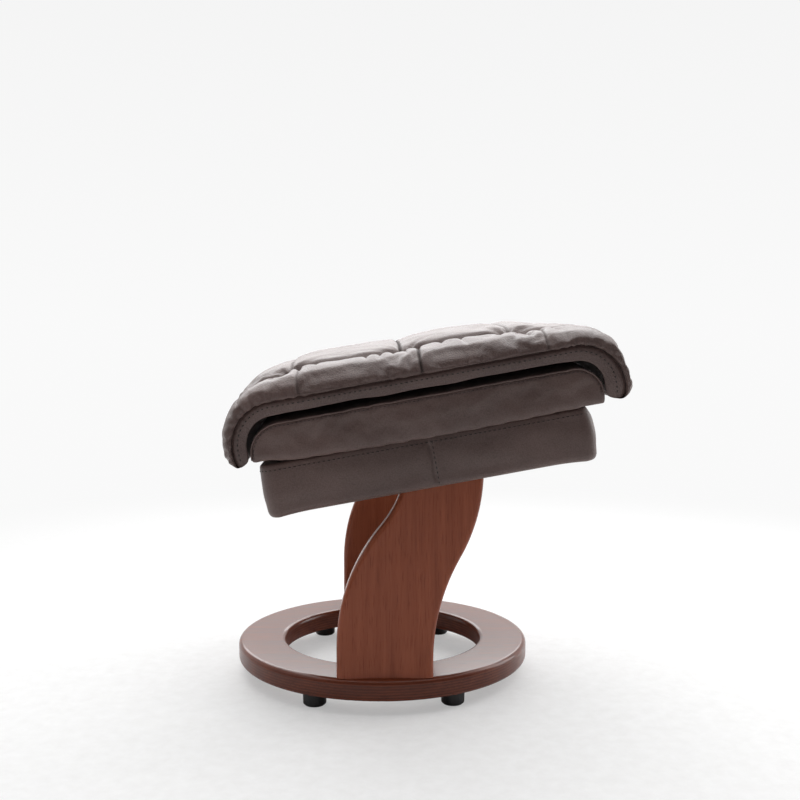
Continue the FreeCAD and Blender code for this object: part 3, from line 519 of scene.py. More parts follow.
# Stitches and piping
STITCH_STAND = 0.0002


def make_stitch_tree():
    """Short threads in a row along the edges of a mesh."""
    tree, entry = new_group("stitch_row", "GeometryNodeTree",
                            [("Path", GEOMETRY, None), ("Pitch", FLOAT, 0.005), ("Length", FLOAT, 0.003),
                             ("Thickness", FLOAT, 0.0008), ("Material", "NodeSocketMaterial", None)],
                            [("Stitches", GEOMETRY)])
    curve = place(tree, "GeometryNodeMeshToCurve", Mesh=entry["Path"]).outputs["Curve"]
    spaced = place(tree, "GeometryNodeResampleCurve", mode="LENGTH", Curve=curve, Length=entry["Pitch"])
    ball = place(tree, "GeometryNodeMeshUVSphere", Segments=6, Rings=4, Radius=0.5)
    tangent = place(tree, "GeometryNodeInputTangent").outputs["Tangent"]
    turn = place(tree, "FunctionNodeAlignRotationToVector", axis="X", Vector=tangent)
    thickness = entry["Thickness"]
    stretch = place(tree, "ShaderNodeCombineXYZ", X=entry["Length"], Y=thickness, Z=thickness)
    rows = place(tree, "GeometryNodeInstanceOnPoints", Points=spaced.outputs["Curve"],
                 Instance=ball.outputs["Mesh"], Rotation=turn.outputs["Rotation"],
                 Scale=stretch.outputs["Vector"])
    real = place(tree, "GeometryNodeRealizeInstances", Geometry=rows.outputs["Instances"])
    painted = place(tree, "GeometryNodeSetMaterial", Geometry=real.outputs["Geometry"],
                    Material=entry["Material"])
    place(tree, "NodeGroupOutput", Stitches=painted.outputs["Geometry"])
    return tree


stitch_tree = make_stitch_tree()


def lay_on(piece_name, rows, stand):
    """Rows of points moved to the nearest place on a piece, standing a little off its surface."""
    piece = bpy.data.objects[piece_name]
    graph = bpy.context.evaluated_depsgraph_get()
    laid = []
    for row in rows:
        nearest = [piece.closest_point_on_mesh(Vector(point), depsgraph=graph) for point in row]
        laid.append(np.array([spot + normal * stand for found, spot, normal, face in nearest]))
    return laid


def sew(name, piece_name, rows, body, pitch, length, thickness):
    """One piece with the stitches of several rows of points, laid on another piece."""
    points, edges = [], []
    for row in lay_on(piece_name, rows, STITCH_STAND):
        first = len(points)
        points.extend(row)
        edges.extend((i, i + 1) for i in range(first, len(points) - 1))
    piece = new_piece(name, points, [], edges)
    sewn = piece.modifiers.new("sewn", "NODES")
    sewn.node_group = stitch_tree
    values = {"Pitch": pitch, "Length": length, "Thickness": thickness, "Material": thread}
    for item in stitch_tree.interface.items_tree:
        if item.in_out == "INPUT" and item.name in values:
            sewn[item.identifier] = values[item.name]
    settle(piece)
    finish_piece(piece, thread, body, "leather")


def piping(name, paths, radius, material, body, *stands_for):
    """Sewn-in cords along rows of points, as one mesh."""
    curve = bpy.data.curves.new(name, "CURVE")
    curve.dimensions = "3D"
    curve.bevel_depth = radius
    curve.bevel_resolution = 3
    curve.use_fill_caps = True
    for path in paths:
        spline = curve.splines.new("POLY")
        spline.points.add(len(path) - 1)
        for point, where in zip(spline.points, path):
            point.co = (*where, 1)
    helper = add_object(name + "_path", curve)
    mesh = evaluated_mesh(helper)
    bpy.data.objects.remove(helper)
    finish_piece(add_object(name, mesh), material, body, "leather", *stands_for)


# Topper: a tufted pillow that follows the pad's top and hangs over both its ends
REAR_LINE, FRONT_LINE = TOPPER_FLOOR - REAR_BEND, TOPPER_FLOOR - FRONT_BEND
REAR_TURN, FRONT_TURN = TOPPER_REAR + REAR_BEND, TOPPER_FRONT - FRONT_BEND
REAR_ARC, FRONT_ARC = REAR_BEND * math.pi / 2, FRONT_BEND * math.pi / 2
TOP_START = REAR_LINE + REAR_ARC
TOP_END = TOP_START + FRONT_TURN - REAR_TURN
PATH_LENGTH = TOP_END + FRONT_ARC + FRONT_LINE


def path_at(s):
    """Along, above, and the outward direction of the topper's underside at a distance from its rear end."""
    s = np.asarray(s, float)
    zero, one = np.zeros_like(s), np.ones_like(s)
    rear_angle = math.pi - (s - REAR_LINE) / REAR_BEND
    front_angle = math.pi / 2 - (s - TOP_END) / FRONT_BEND
    parts = [s < REAR_LINE, s < TOP_START, s < TOP_END, s < TOP_END + FRONT_ARC]
    along = np.select(parts, [one * TOPPER_REAR, REAR_TURN + REAR_BEND * np.cos(rear_angle),
                              REAR_TURN + s - TOP_START, FRONT_TURN + FRONT_BEND * np.cos(front_angle)],
                      TOPPER_FRONT)
    above = np.select(parts, [s, REAR_LINE + REAR_BEND * np.sin(rear_angle), one * TOPPER_FLOOR,
                              FRONT_LINE + FRONT_BEND * np.sin(front_angle)], PATH_LENGTH - s)
    out_along = np.select(parts, [-one, np.cos(rear_angle), zero, np.cos(front_angle)], 1)
    out_above = np.select(parts, [zero, np.sin(rear_angle), one, np.sin(front_angle)], 0)
    return along, above, out_along, out_above


def on_path(s, across, height):
    """Points at a height over the topper's underside."""
    along, above, out_along, out_above = path_at(s)
    return tilted(along + out_along * height, across, above + out_above * height)


def top_distance(along):
    return TOP_START + along - REAR_TURN


TUFT_PATH = [top_distance(along) for along in TUFT_ROWS]
TUFTS = [(row, tuft, side) for row, tuft in enumerate(TUFT_PATH) for side in (-CREASE, CREASE)]
# Distance along, then strip, crease, crown, rise of the side roll, depth of the valley at the crease and
# narrowing of the ends, in millimetres
STATIONS = (
    (0.0, 11, 19, 21, 3, 0, 9),
    (0.011, 13, 23, 24, 4, 0, 3),
    (REAR_LINE + REAR_ARC / 2, 12, 28, 30, 7, 1, 0),
    (TOP_START, 11.5, 37, 41, 9, 4, 0),
    (TUFT_PATH[0], 11.5, 39, 45, 9, 4, 0),
    (top_distance(0.085), 11.5, 41, 48, 9, 4, 0),
    (top_distance(0.138), 11.5, 40, 46, 9, 4, 0),
    (TUFT_PATH[1], 11.5, 39, 46, 9, 4, 0),
    (top_distance(0.243), 11.5, 40, 48, 9, 4, 0),
    (TUFT_PATH[2], 11.5, 38, 44, 9, 4, 0),
    (top_distance(0.334), 11.5, 35, 40, 9, 3, 0),
    (TOP_END, 12, 30, 30, 9, 2, 0),
    (TOP_END + FRONT_ARC / 2, 14, 34, 34, 7, 1, 0),
    (PATH_LENGTH - 0.014, 20, 33, 34, 5, 0, 3),
    (PATH_LENGTH, 17, 25, 26, 3, 0, 10),
)
STATION_PATH, *SECTION_SIZES = np.array(STATIONS).T
SECTION_SIZES = [sizes * 0.001 for sizes in SECTION_SIZES]
STATION_SOFTNESS, STATION_STEP = 0.007, 0.0005
ROLL_COLUMNS, CROWN_COLUMNS = 20, 40
TOP_COLUMNS = 2 * ROLL_COLUMNS + CROWN_COLUMNS + 1
REAR_ROWS, TOP_ROWS, FRONT_ROWS = 32, 108, 34
UNDER_STEP, TUCK_ROWS = 2, 3
LOOP = TOP_COLUMNS + TOP_COLUMNS // UNDER_STEP + 1 + 2 * TUCK_ROWS
LIP_ROUND, LIP_ANGLES = 0.008, (90, 68, 44, 22)
ROLL_ACROSS_BEND, ROLL_HEIGHT_BEND, ROLL_BULGE, CROWN_BEND = 0.78, 0.84, 0.30, 0.42
EDGE_HANG, LIP_LEVEL = 0.004, 0.45
# Kinds of points: outer leather, tucked-in edge, underside
OUTER, TUCKED, UNDER = 1.0, 0.5, 0.0
LEAST_OUTER = 0.75


def sizes_at(s):
    """Strip, crease, crown, rise, depth and narrowing of the topper's section, smoothed along it."""
    fine = np.arange(0, PATH_LENGTH + STATION_STEP, STATION_STEP)
    reach = int(3 * STATION_SOFTNESS / STATION_STEP)
    kernel = np.exp(-0.5 * (np.arange(-reach, reach + 1) * STATION_STEP / STATION_SOFTNESS) ** 2)
    smoothed = []
    for sizes in SECTION_SIZES:
        raw = np.interp(fine, STATION_PATH, sizes)
        padded = np.concatenate([np.full(reach, raw[0]), raw, np.full(reach, raw[-1])])
        smoothed.append(np.interp(s, fine, np.convolve(padded, kernel / kernel.sum(), "valid")))
    return smoothed


def topper_section(s, squeeze):
    """One closed loop round the topper: across, height, kind, distance from the seam, and painted shade in
    the valley under the seam.
    """
    strip, crease, crown, rise, depth, narrower = sizes_at(s)
    crease = crease - depth
    seam, edge = SEAM - narrower, STRIP - narrower
    angle = np.linspace(0, 1, ROLL_COLUMNS + 1) * math.pi / 2
    roll = CREASE + (seam - CREASE) * np.cos(angle) ** ROLL_ACROSS_BEND
    roll += rise * ROLL_BULGE * np.sin(2 * angle)
    roll_height = strip + (crease - strip) * np.sin(angle) ** ROLL_HEIGHT_BEND
    middle = np.linspace(CREASE, -CREASE, CROWN_COLUMNS + 1)[1:-1]
    swell = crease + (crown - crease) * (1 - (middle / CREASE) ** 2) ** CROWN_BEND
    across = np.concatenate([roll, middle, -roll[::-1]])
    height = np.concatenate([roll_height, swell, roll_height[::-1]])
    from_seam = np.concatenate([[0], np.cumsum(np.hypot(np.diff(across), np.diff(height)))])
    from_seam = np.minimum(from_seam, from_seam[::-1])
    under = across[::UNDER_STEP]
    under_across = -under * (edge / seam) * squeeze - under * (1 - squeeze)
    hang = -EDGE_HANG * smoothstep(0.180, 0.207, np.abs(under_across)) * squeeze
    tuck = np.array((seam - 0.0080, edge + 0.0024, edge + 0.0030))
    tuck_height = np.array((strip - 0.0002, strip - 0.0020, strip * 0.50))
    all_across = np.concatenate([across, -tuck, under_across, tuck[::-1]])
    all_height = np.concatenate([height, tuck_height, hang, tuck_height[::-1]])
    lip = LIP_LEVEL * crease
    all_height = lip + (all_height - lip) * squeeze
    tucked, below = np.ones(TUCK_ROWS), np.ones(len(under))
    kind = np.concatenate([np.full(len(across), OUTER), tucked * TUCKED, below * UNDER, tucked * TUCKED])
    # Painted shade: 1 in the tucked-in valley under each seam, 0 elsewhere
    valley_shade = np.concatenate([np.zeros(len(across)), (1, 0, 0), below * 0, (0, 0, 1)])
    far = np.concatenate([from_seam, tucked * 0, below * 0.05, tucked * 0])
    return all_across, all_height, kind, far, valley_shade


def row_edge(first, second, closing):
    """An edge along a row; on a closing row the point that the underside's wider columns skip is put back."""
    skips = closing and abs(first - second) == UNDER_STEP
    return [first, (first + second) // 2, second] if skips else [first, second]


def topper_grid(last):
    """Faces of the topper as numbers of its points; its first and last rows close on themselves."""
    number = np.arange((last + 1) * LOOP).reshape(last + 1, LOOP)
    for closing in (0, last):
        top = number[closing, :TOP_COLUMNS].copy()
        number[closing, TOP_COLUMNS:TOP_COLUMNS + TUCK_ROWS] = top[-1]
        number[closing, TOP_COLUMNS + TUCK_ROWS:LOOP - TUCK_ROWS] = top[::-UNDER_STEP]
        number[closing, LOOP - TUCK_ROWS:] = top[0]
    faces = []
    for row in range(last):
        for column in range(LOOP):
            right = (column + 1) % LOOP
            ring = row_edge(number[row, column], number[row, right], row == 0)
            ring += row_edge(number[row + 1, right], number[row + 1, column], row + 1 == last)
            distinct = list(dict.fromkeys(int(i) for i in ring))
            if len(distinct) > 2:
                faces.append(distinct)
    return faces, np.unique(number)


def held_points(mesh):
    """Weights that hold the topper's seams, tufts, lips and underside while it swells."""
    s, across, edge, kind = marked(mesh, "path", "side", "edge", "kind")
    fixed = (kind < LEAST_OUTER) | (edge < 0.001) | (s < LIP_ROUND) | (s > PATH_LENGTH - LIP_ROUND)
    held = np.maximum(fixed, 0.5 * bell(np.abs(across) - CREASE, 0.004))
    for row, tuft, side in TUFTS:
        held = np.maximum(held, bell(np.hypot(s - tuft, across - side), 0.009))
    return held


def make_topper():
    lips = [(LIP_ROUND * (1 - math.sin(a)), math.cos(a)) for a in np.radians(LIP_ANGLES)]
    lips[0] = (lips[0][0], 0.0)
    stretches = ((LIP_ROUND, TOP_START, REAR_ROWS), (TOP_START, TOP_END, TOP_ROWS),
                 (TOP_END, PATH_LENGTH - LIP_ROUND, FRONT_ROWS))
    full = np.unique(np.concatenate([np.linspace(*stretch) for stretch in stretches]))
    rows = lips + [(s, 1.0) for s in full] + [(PATH_LENGTH - s, squeeze) for s, squeeze in lips[::-1]]
    points, marks = [], []
    for s, squeeze in rows:
        across, height, kind, far, valley_shade = topper_section(s, squeeze)
        path = np.full(LOOP, s)
        points.append(on_path(path, across, height))
        marks.append((path, across, kind, far, valley_shade))
    faces, used = topper_grid(len(rows) - 1)
    lookup = np.zeros(len(rows) * LOOP, int)
    lookup[used] = np.arange(len(used))
    piece = new_piece("topper_pillow", np.concatenate(points)[used], [lookup[face] for face in faces])
    # The seam attribute carries the painted shade that the leather darkens by
    for name, values in zip(("path", "side", "kind", "edge", "seam"), zip(*marks)):
        mark(piece.data, name, np.concatenate(values)[used])
    turn_faces(piece)
    shape_tufts(piece.data)
    inflate(piece, held_points(piece.data), 1.6, 0.03, 14, 0.0030)
    subdivide(piece)
    wrinkle_topper(piece.data)
    finish_piece(piece, topper_leather, "lid", "leather", "topper_cushion")


def shape_tufts(mesh):
    """Pulls the tufts and the rows between them in, so that the leather swells around them."""
    points, normals = read_points(mesh), read_normals(mesh)
    s, across, kind = marked(mesh, "path", "side", "kind")
    move = np.zeros(len(points))
    for row, tuft, side in TUFTS:
        move -= 0.006 * np.exp(-(np.hypot(s - tuft, across - side) / 0.016) ** 1.4)
    for tuft in TUFT_PATH:
        move -= 0.003 * bell(s - tuft, 0.012) * smoothstep(0.136, 0.120, np.abs(across))
    write_points(mesh, points + normals * (move * (kind > LEAST_OUTER))[:, None])


# Pinches of the side rolls: tuft row they belong to, distance from it, and how far down the roll they run
PINCHES = ((0, -0.030, 0.5), (0, 0.022, 0.6), (0, 0.046, 0.4), (1, -0.060, 0.6), (1, -0.040, 0.75),
           (1, -0.021, 0.5), (1, 0.052, 0.45), (1, 0.083, 0.8), (2, -0.018, 0.5), (2, 0.020, 0.9),
           (2, 0.041, 0.5), (2, 0.060, 0.7))
# Sewn lines a tuft row: distance on the crown, distance on the rolls, and strength of the painted shade along
# them
SEWN_ROWS = ((0.004, 0.016, 0.74), (-0.004, 0.016, 0.96), (0.003, 0.034, 0.74))
# Height and width of the swelling beside a line, then depth and width of the line
CROWN_LINE = (0.0018, 0.016, 0.0042, 0.0022)
ROLL_LINE = (0.0020, 0.014, 0.0046, 0.0020)
PINCH_LINE = (0.0022, 0.012, 0.0052, 0.0034)
# Widths of the shade painted along sewn lines, round tufts and in the crease
LINE_SHADE, TUFT_SHADE, CREASE_SHADE = 0.0032, 0.0060, 0.0036
FOLD_HEIGHT, FOLD_REACH = 0.0054, 0.022
BUTTON_DEPTH, BUTTON_SIZE = 0.0075, 0.0055
POCKET_DEPTH, POCKET_AHEAD = 0.0030, 0.020
ROLL_LENGTH = 0.082
PUCKER_HEIGHT, PUCKER_SPACING = 0.0006, 0.0165
PLEAT_HEIGHT, PLEAT_SPACING = 0.0024, 0.0092
GATHER_HEIGHT, GATHER_SPACING = 0.0011, 0.023
STITCH_SHARE, STITCH_OUT = 0.42, 0.0040


def sewn_line(distance, swelling, swelling_width, depth, width):
    return swelling * groove(distance, swelling_width) - depth * groove(distance, width)


def tuft_folds(row, tuft, side, s, across):
    """Heights of the folds that run out from one tuft, of its button and of the pockets beside it, and the
    painted shade round it.
    """
    ahead, aside = s - tuft, across - side
    reach = np.hypot(ahead, aside)
    angle = np.arctan2(aside, ahead)
    folds = np.abs(np.sin(3.5 * angle + 1.3 * row + side * 9))
    folds += 0.5 * np.abs(np.sin(6.5 * angle + row + side))
    fade = np.exp(-reach / FOLD_REACH) * smoothstep(0.002, 0.012, reach)
    move = FOLD_HEIGHT * (folds - 0.9) * fade - BUTTON_DEPTH * bell(reach, BUTTON_SIZE)
    for middle in (-POCKET_AHEAD, POCKET_AHEAD):
        pocket = bell(ahead - middle, 0.013) * bell(np.abs(across) - CREASE + 0.003, 0.0055)
        move -= POCKET_DEPTH * pocket * (np.sign(across) == np.sign(side))
    return move, bell(reach, TUFT_SHADE)


def end_gathers(s, across, edge):
    """Heights of the puckers along the seam, the pleats round both ends and the gathers across them."""
    hand = np.sign(across)
    turned = smoothstep(TOP_START + 0.004, TOP_START - 0.030, s)
    turned += smoothstep(TOP_END + 0.004, TOP_END + 0.030, s)
    spacing = PUCKER_SPACING + 0.003 * ripple(s / 0.05, hand * 3, 7.5)
    puckers = np.sin(2 * math.pi * s / spacing) * np.exp(-edge / 0.013) * (1 - turned)
    lip_fade = smoothstep(PATH_LENGTH - 0.004, PATH_LENGTH - 0.030, s)
    ends = smoothstep(TOP_START + 0.010, TOP_START - 0.016, s)
    ends += 0.6 * smoothstep(TOP_END - 0.014, TOP_END + 0.014, s) * lip_fade
    reach = 0.034 + 0.010 * ripple(s / 0.012, hand * 5, 8.5)
    wave = math.pi * s / PLEAT_SPACING + 1.2 * ripple(s / 0.03, edge / 0.03, 6.5)
    pleats = (np.abs(np.sin(wave)) - 0.6) * ends * smoothstep(reach, 0.003, edge)
    wave = math.pi * across / GATHER_SPACING + 1.6 * ripple(s / 0.05, across / 0.05, 9.5)
    gathers = (np.abs(np.sin(wave)) - 0.6) * turned * smoothstep(0.020, 0.045, edge)
    return PUCKER_HEIGHT * puckers + PLEAT_HEIGHT * pleats + GATHER_HEIGHT * gathers


def wrinkle_topper(mesh):
    """Folds that run from the tufts, sewn lines, pinched rolls, and puckers and gathers at the edges; painted
    shade round the tufts, along the sewn lines and in the crease goes into the seam attribute.
    """
    points, normals = read_points(mesh), read_normals(mesh)
    s, across, kind, edge, seam = marked(mesh, "path", "side", "kind", "edge", "seam")
    top = smoothstep(0.7, 0.95, kind) * smoothstep(0.0, 0.014, s)
    top *= smoothstep(PATH_LENGTH, PATH_LENGTH - 0.014, s)
    wide, hand = np.abs(across), np.sign(across)
    on_roll = smoothstep(CREASE - 0.002, CREASE + 0.004, wide)
    on_crown = smoothstep(0.141, 0.137, wide)
    drift = 0.006 * ripple(across / 0.05, s / 0.08, 2.5)
    move = 0.0016 * ripple(s / 0.042, across / 0.042, 1.5) + 0.0006 * ripple(s / 0.020, across / 0.020, 4.5)
    move += end_gathers(s, across, edge)
    crease_depth = 0.0030 + 0.0012 * ripple(s / 0.03, hand * 2, 5.5)
    from_crease = wide - CREASE - 0.002 * ripple(s / 0.04, hand * 4, 3.5)
    crease_fade = smoothstep(TOP_START - 0.012, TOP_START + 0.008, s)
    crease_fade *= smoothstep(TOP_END + 0.006, TOP_END - 0.016, s)
    move -= crease_depth * groove(from_crease, 0.0032) * crease_fade
    for row, tuft, side in TUFTS:
        folds, shade = tuft_folds(row, tuft, side, s, across)
        move += folds
        # Painted shade round the tuft
        seam = np.maximum(seam, 0.97 * shade * top)
    for tuft, (crown_offset, roll_offset, shade_strength) in zip(TUFT_PATH, SEWN_ROWS):
        crown_line = s - tuft - crown_offset + drift * 0.4
        roll_line = s - tuft - roll_offset - 0.05 * (CREASE + 0.03 - wide)
        for line, sizes, share in ((crown_line, CROWN_LINE, on_crown), (roll_line, ROLL_LINE, on_roll)):
            move += sewn_line(line, *sizes) * share
            # Painted shade along the sewn line
            seam = np.maximum(seam, shade_strength * bell(line, LINE_SHADE) * share * top)
    # Painted shade in the crease between the second and third tuft rows
    crease_shade_span = smoothstep(TUFT_PATH[1] + 0.004, TUFT_PATH[1] + 0.014, s)
    crease_shade_span *= smoothstep(TUFT_PATH[2] - 0.010, TUFT_PATH[2] - 0.034, s)
    seam = np.maximum(seam, 0.92 * bell(from_crease, CREASE_SHADE) * crease_shade_span * top)
    mark(mesh, "seam", seam)
    for row, offset, length in PINCHES:
        bend = offset * (1 + 0.25 * hand) + 0.10 * (0.08 - edge) * np.sign(offset)
        roll_share = np.clip(edge / ROLL_LENGTH, 0, 1)
        reach = smoothstep(1 - length, 1.05 - 0.4 * length, roll_share) * on_roll
        move += sewn_line(s - TUFT_PATH[row] - bend + drift, *PINCH_LINE) * reach
    points += normals * (move * top)[:, None]
    points[:, 2] += 0.0016 * ripple(s / 0.035, hand * 6, 2.5) * smoothstep(0.30, 0.05, kind) * (wide > 0.19)
    write_points(mesh, points)


def topper_rows():
    """Points on both side strips, a little out from them."""
    s = np.linspace(LIP_ROUND, PATH_LENGTH - LIP_ROUND, 160)
    sizes = sizes_at(s)
    height, across = sizes[0] * STITCH_SHARE, STRIP - sizes[-1] + STITCH_OUT
    return [on_path(s, side * across, height) for side in BOTH_SIDES]


# Lower pad: leather over foam, welted along its side panels
PAD_SWELL, PAD_VOXEL = 0.003, 0.0048
SIDE_SAG, MIDDLE_SAG, END_SAG = 0.0040, 0.0035, 0.002
WELT_RADIUS, WELT_STAND = 0.0010, 0.0008


def pad_profile(grow, ends):
    """Points up the pad's rear end, over its top and down its front end, as along and above."""
    rear, front, top = PAD_REAR - grow, PAD_FRONT + grow, PAD_TOP + grow
    rear_radius, front_radius = PAD_REAR_CORNER + grow, PAD_FRONT_CORNER + grow
    turn = np.linspace(0, math.pi / 2, 13)
    low, high = 1 - np.cos(turn), 1 - np.sin(turn)
    rear_arc = np.column_stack([rear + rear_radius * low, top - rear_radius * high])
    level = [(along, top) for along in np.linspace(rear + rear_radius, front - front_radius, 50)[1:-1]]
    front_arc = np.column_stack([front - front_radius * high, top - front_radius * low])
    return np.concatenate([[(rear, ends)], rear_arc, level, front_arc, [(front, ends)]])


def make_pad():
    profile = pad_profile(0, PAD_UNDERSIDE + 0.002)
    bottom = np.column_stack([np.linspace(PAD_FRONT, PAD_REAR, 40), np.full(40, PAD_UNDERSIDE)])
    along, above = np.concatenate([profile, bottom]).T
    from_middle = along - (PAD_REAR + PAD_FRONT) / 2
    rings = []
    for share in np.linspace(-1, 1, 29):
        swell = 1 - share * share
        lift = smoothstep(PAD_UNDERSIDE, PAD_TOP, above) * PAD_CROWN * swell
        bulge = PAD_SWELL * swell * np.sign(from_middle) * (np.abs(from_middle) > 0.19)
        rings.append(tilted(along + bulge, share * PAD_SIDE, above + lift))
    piece = ring_piece("lower_pad", rings, (0, len(rings) - 1))
    turn_faces(piece, merge=True)
    voxels = piece.modifiers.new("voxels", "REMESH")
    voxels.mode = "VOXEL"
    voxels.voxel_size = PAD_VOXEL
    settle(piece)
    along, across, above = untilted(read_points(piece.data))
    wide = np.abs(across)
    held = smoothstep(0.012, 0.006, above)
    held = np.maximum(held, smoothstep(0.203, 0.208, wide) * smoothstep(0.034, 0.040, above))
    held = np.maximum(held, smoothstep(0.030, 0.040, above) * (wide < 0.19))
    inflate(piece, held, 3.0, 0.01, 14, 0.004)
    subdivide(piece)
    sag_pad(piece.data)
    finish_piece(piece, pad_leather, "lid", "leather", "pad_cover", "pad_foam")
    welts = lay_on(piece.name, pad_rows(0.0006, 0.012, 0.0004), WELT_STAND)
    piping("pad_piping", welts, WELT_RADIUS, pad_leather, "lid", "pad_welts")


def sag_pad(mesh):
    """Lets the pad's lower edges hang, and its side panels dent and crease."""
    along, across, above = untilted(read_points(mesh))
    wide, low = np.abs(across), smoothstep(0.014, 0.004, above)
    sag = SIDE_SAG + MIDDLE_SAG * np.sin(math.pi * np.clip((along - 0.02) / 0.36, 0, 1))
    side_drop = smoothstep(0.200, 0.206, wide) * low * sag * smoothstep(0.012, 0.040, along)
    end_drop = smoothstep(0.372, 0.380, along) * low * END_SAG
    panel = smoothstep(0.205, 0.208, wide)
    dents = 0.0011 * ripple(along / 0.06, above / 0.03, 2.5) * panel
    crease = 0.0012 * bell(along - 0.075 - 0.9 * (above - 0.02), 0.006)
    crease *= panel * smoothstep(0.002, 0.012, above)
    across = across + np.sign(across) * (dents - crease)
    write_points(mesh, tilted(along, across, above - np.maximum(side_drop, end_drop)))


def pad_rows(grow, ends, stand):
    """Rows of points along the edges of both side panels."""
    along, above = pad_profile(grow, ends).T
    return [tilted(along, side * (PAD_SIDE + stand), above) for side in BOTH_SIDES]


# Box: leather over its boards, lining and dust cover
CORNER_POINTS, END_POINTS, SIDE_POINTS = 9, 40, 36
FINER_BEND = 2.2
WALL_OUT, WALL_TOP, WALL_HEIGHT, WALL_BULGE = 0.0006, -0.0064, 0.0446, 0.0016
LOWER_EDGE, LOWER_EDGE_IN, LOWER_EDGE_LEVEL = 0.0072, -0.0064, -0.0538
RIM_PROFILE = ((-0.0168, -0.0060), (-0.0164, -0.0036), (-0.0150, -0.0028), (-0.0100, -0.0026),
               (-0.0040, -0.0026), (-0.0012, -0.0030), (0.0002, -0.0044), (WALL_OUT, WALL_TOP))
UNDER_PROFILE = ((-0.0100, -0.0612), (-0.0150, -0.0612))
BOX_LEATHER, LINING_CLOTH, SHEET_CLOTH = 0.0011, 0.0005, 0.0006
LINING_GAP, LINING_FLOOR = 0.0006, -0.0488


def rounded_loop(rear, front, side, radius, finer_at=None):
    """Points round a rounded rectangle, as along and across, closer by one place of the long sides."""
    radius = min(radius, side * 0.999, (front - rear) / 2 * 0.999)
    centres = ((front - radius, side - radius), (rear + radius, side - radius),
               (rear + radius, radius - side), (front - radius, radius - side))
    arcs = []
    for quarter, centre in enumerate(centres):
        angle = np.linspace(0, math.pi / 2, CORNER_POINTS) + quarter * math.pi / 2
        arcs.append(centre + radius * np.column_stack([np.cos(angle), np.sin(angle)]))
    points = []
    for quarter, arc in enumerate(arcs):
        start, stop = arc[-1], arcs[(quarter + 1) % 4][0]
        long_side = quarter % 2 == 0
        steps = np.linspace(0, 1, (SIDE_POINTS if long_side else END_POINTS) + 1)[1:-1]
        if long_side and finer_at is not None:
            share = (finer_at - start[0]) / (stop[0] - start[0])
            spread = np.linspace(-1, 1, len(steps))
            steps = share + np.where(spread < 0, -share, 1 - share) * np.abs(spread) ** FINER_BEND
            steps = np.clip(steps, 0.004, 0.996)
        points += [arc, start + steps[:, None] * (stop - start)]
    return np.concatenate(points)


def box_wall_profile():
    """Outward offset from the box's wall, and level, from inside the rim to under the box."""
    wall = [(WALL_OUT + WALL_BULGE * math.sin(math.pi * t), WALL_TOP - WALL_HEIGHT * t)
            for t in np.linspace(0, 1, 15)[1:-1]]
    lower_edge = [(LOWER_EDGE_IN + LOWER_EDGE * math.cos(a), LOWER_EDGE_LEVEL - LOWER_EDGE * math.sin(a))
                  for a in np.linspace(0, math.pi / 2, 7)]
    return [*RIM_PROFILE, *wall, *lower_edge, *UNDER_PROFILE]


def unit(vectors):
    return vectors / np.linalg.norm(vectors, axis=1, keepdims=True)


def make_box_cover():
    rings = []
    centre = np.array(((BOX_REAR + BOX_FRONT) / 2, 0))
    for offset, level in box_wall_profile():
        ring = rounded_loop(BOX_REAR - offset, BOX_FRONT + offset, BOX_SIDE + offset, BOX_CORNER + offset,
                            BOX_SEAM_ALONG)
        along, wide = ring[:, 0], np.abs(ring[:, 1])
        from_seam = along - BOX_SEAM_ALONG
        soft = 0.0011 * ripple(along / 0.05 + ring[:, 1] / 0.05, np.full(len(ring), level / 0.02), 3.5)
        soft *= smoothstep(0.003, 0.020, np.abs(from_seam))
        seam = 0.0012 * bell(from_seam + 0.006, 0.008) - 0.0022 * bell(from_seam, 0.0030)
        seam *= wide > BOX_SIDE - 0.004
        from_corner = np.minimum(np.abs(along - BOX_REAR - 0.008), np.abs(along - BOX_FRONT + 0.008))
        tucked = smoothstep(0.018, 0.004, from_corner) * (wide > BOX_SIDE - 0.016)
        fold = 0.0022 * tucked * smoothstep(-0.052, -0.060, level)
        wall = smoothstep(-0.008, -0.016, level) * smoothstep(-0.058, -0.050, level)
        ring = ring + unit(ring - centre) * ((soft + seam) * wall)[:, None]
        full_front = smoothstep(BOX_FRONT - 0.030, BOX_FRONT - 0.004, ring[:, 0])
        ring[:, 0] += 0.0032 * full_front * smoothstep(-0.003, -0.016, level)
        rings.append(tilted(ring[:, 0], ring[:, 1], level - fold))
    piece = ring_piece("box_leather", rings)
    turn_faces(piece, merge=True)
    thicken(piece, BOX_LEATHER)
    subdivide(piece)
    finish_piece(piece, pad_leather, "base", "leather", "box_cover", "box_welt")


def box_rows():
    """The row of stitches under the rim, and the upright seam in the middle of each long wall."""
    out = 0.0012
    ring = rounded_loop(BOX_REAR - out, BOX_FRONT + out, BOX_SIDE + out, BOX_CORNER + out)
    rim = tilted(ring[:, 0], ring[:, 1], -0.0098)
    level = np.linspace(-0.011, -0.056, 30)
    bulge = 0.0002 + WALL_BULGE * np.sin(math.pi * np.clip((WALL_TOP - level) / WALL_HEIGHT, 0, 1))
    uprights = [tilted(BOX_SEAM_ALONG + 0.003, side * (BOX_SIDE + bulge), level) for side in BOTH_SIDES]
    return [np.concatenate([rim, rim[:1]]), *uprights]


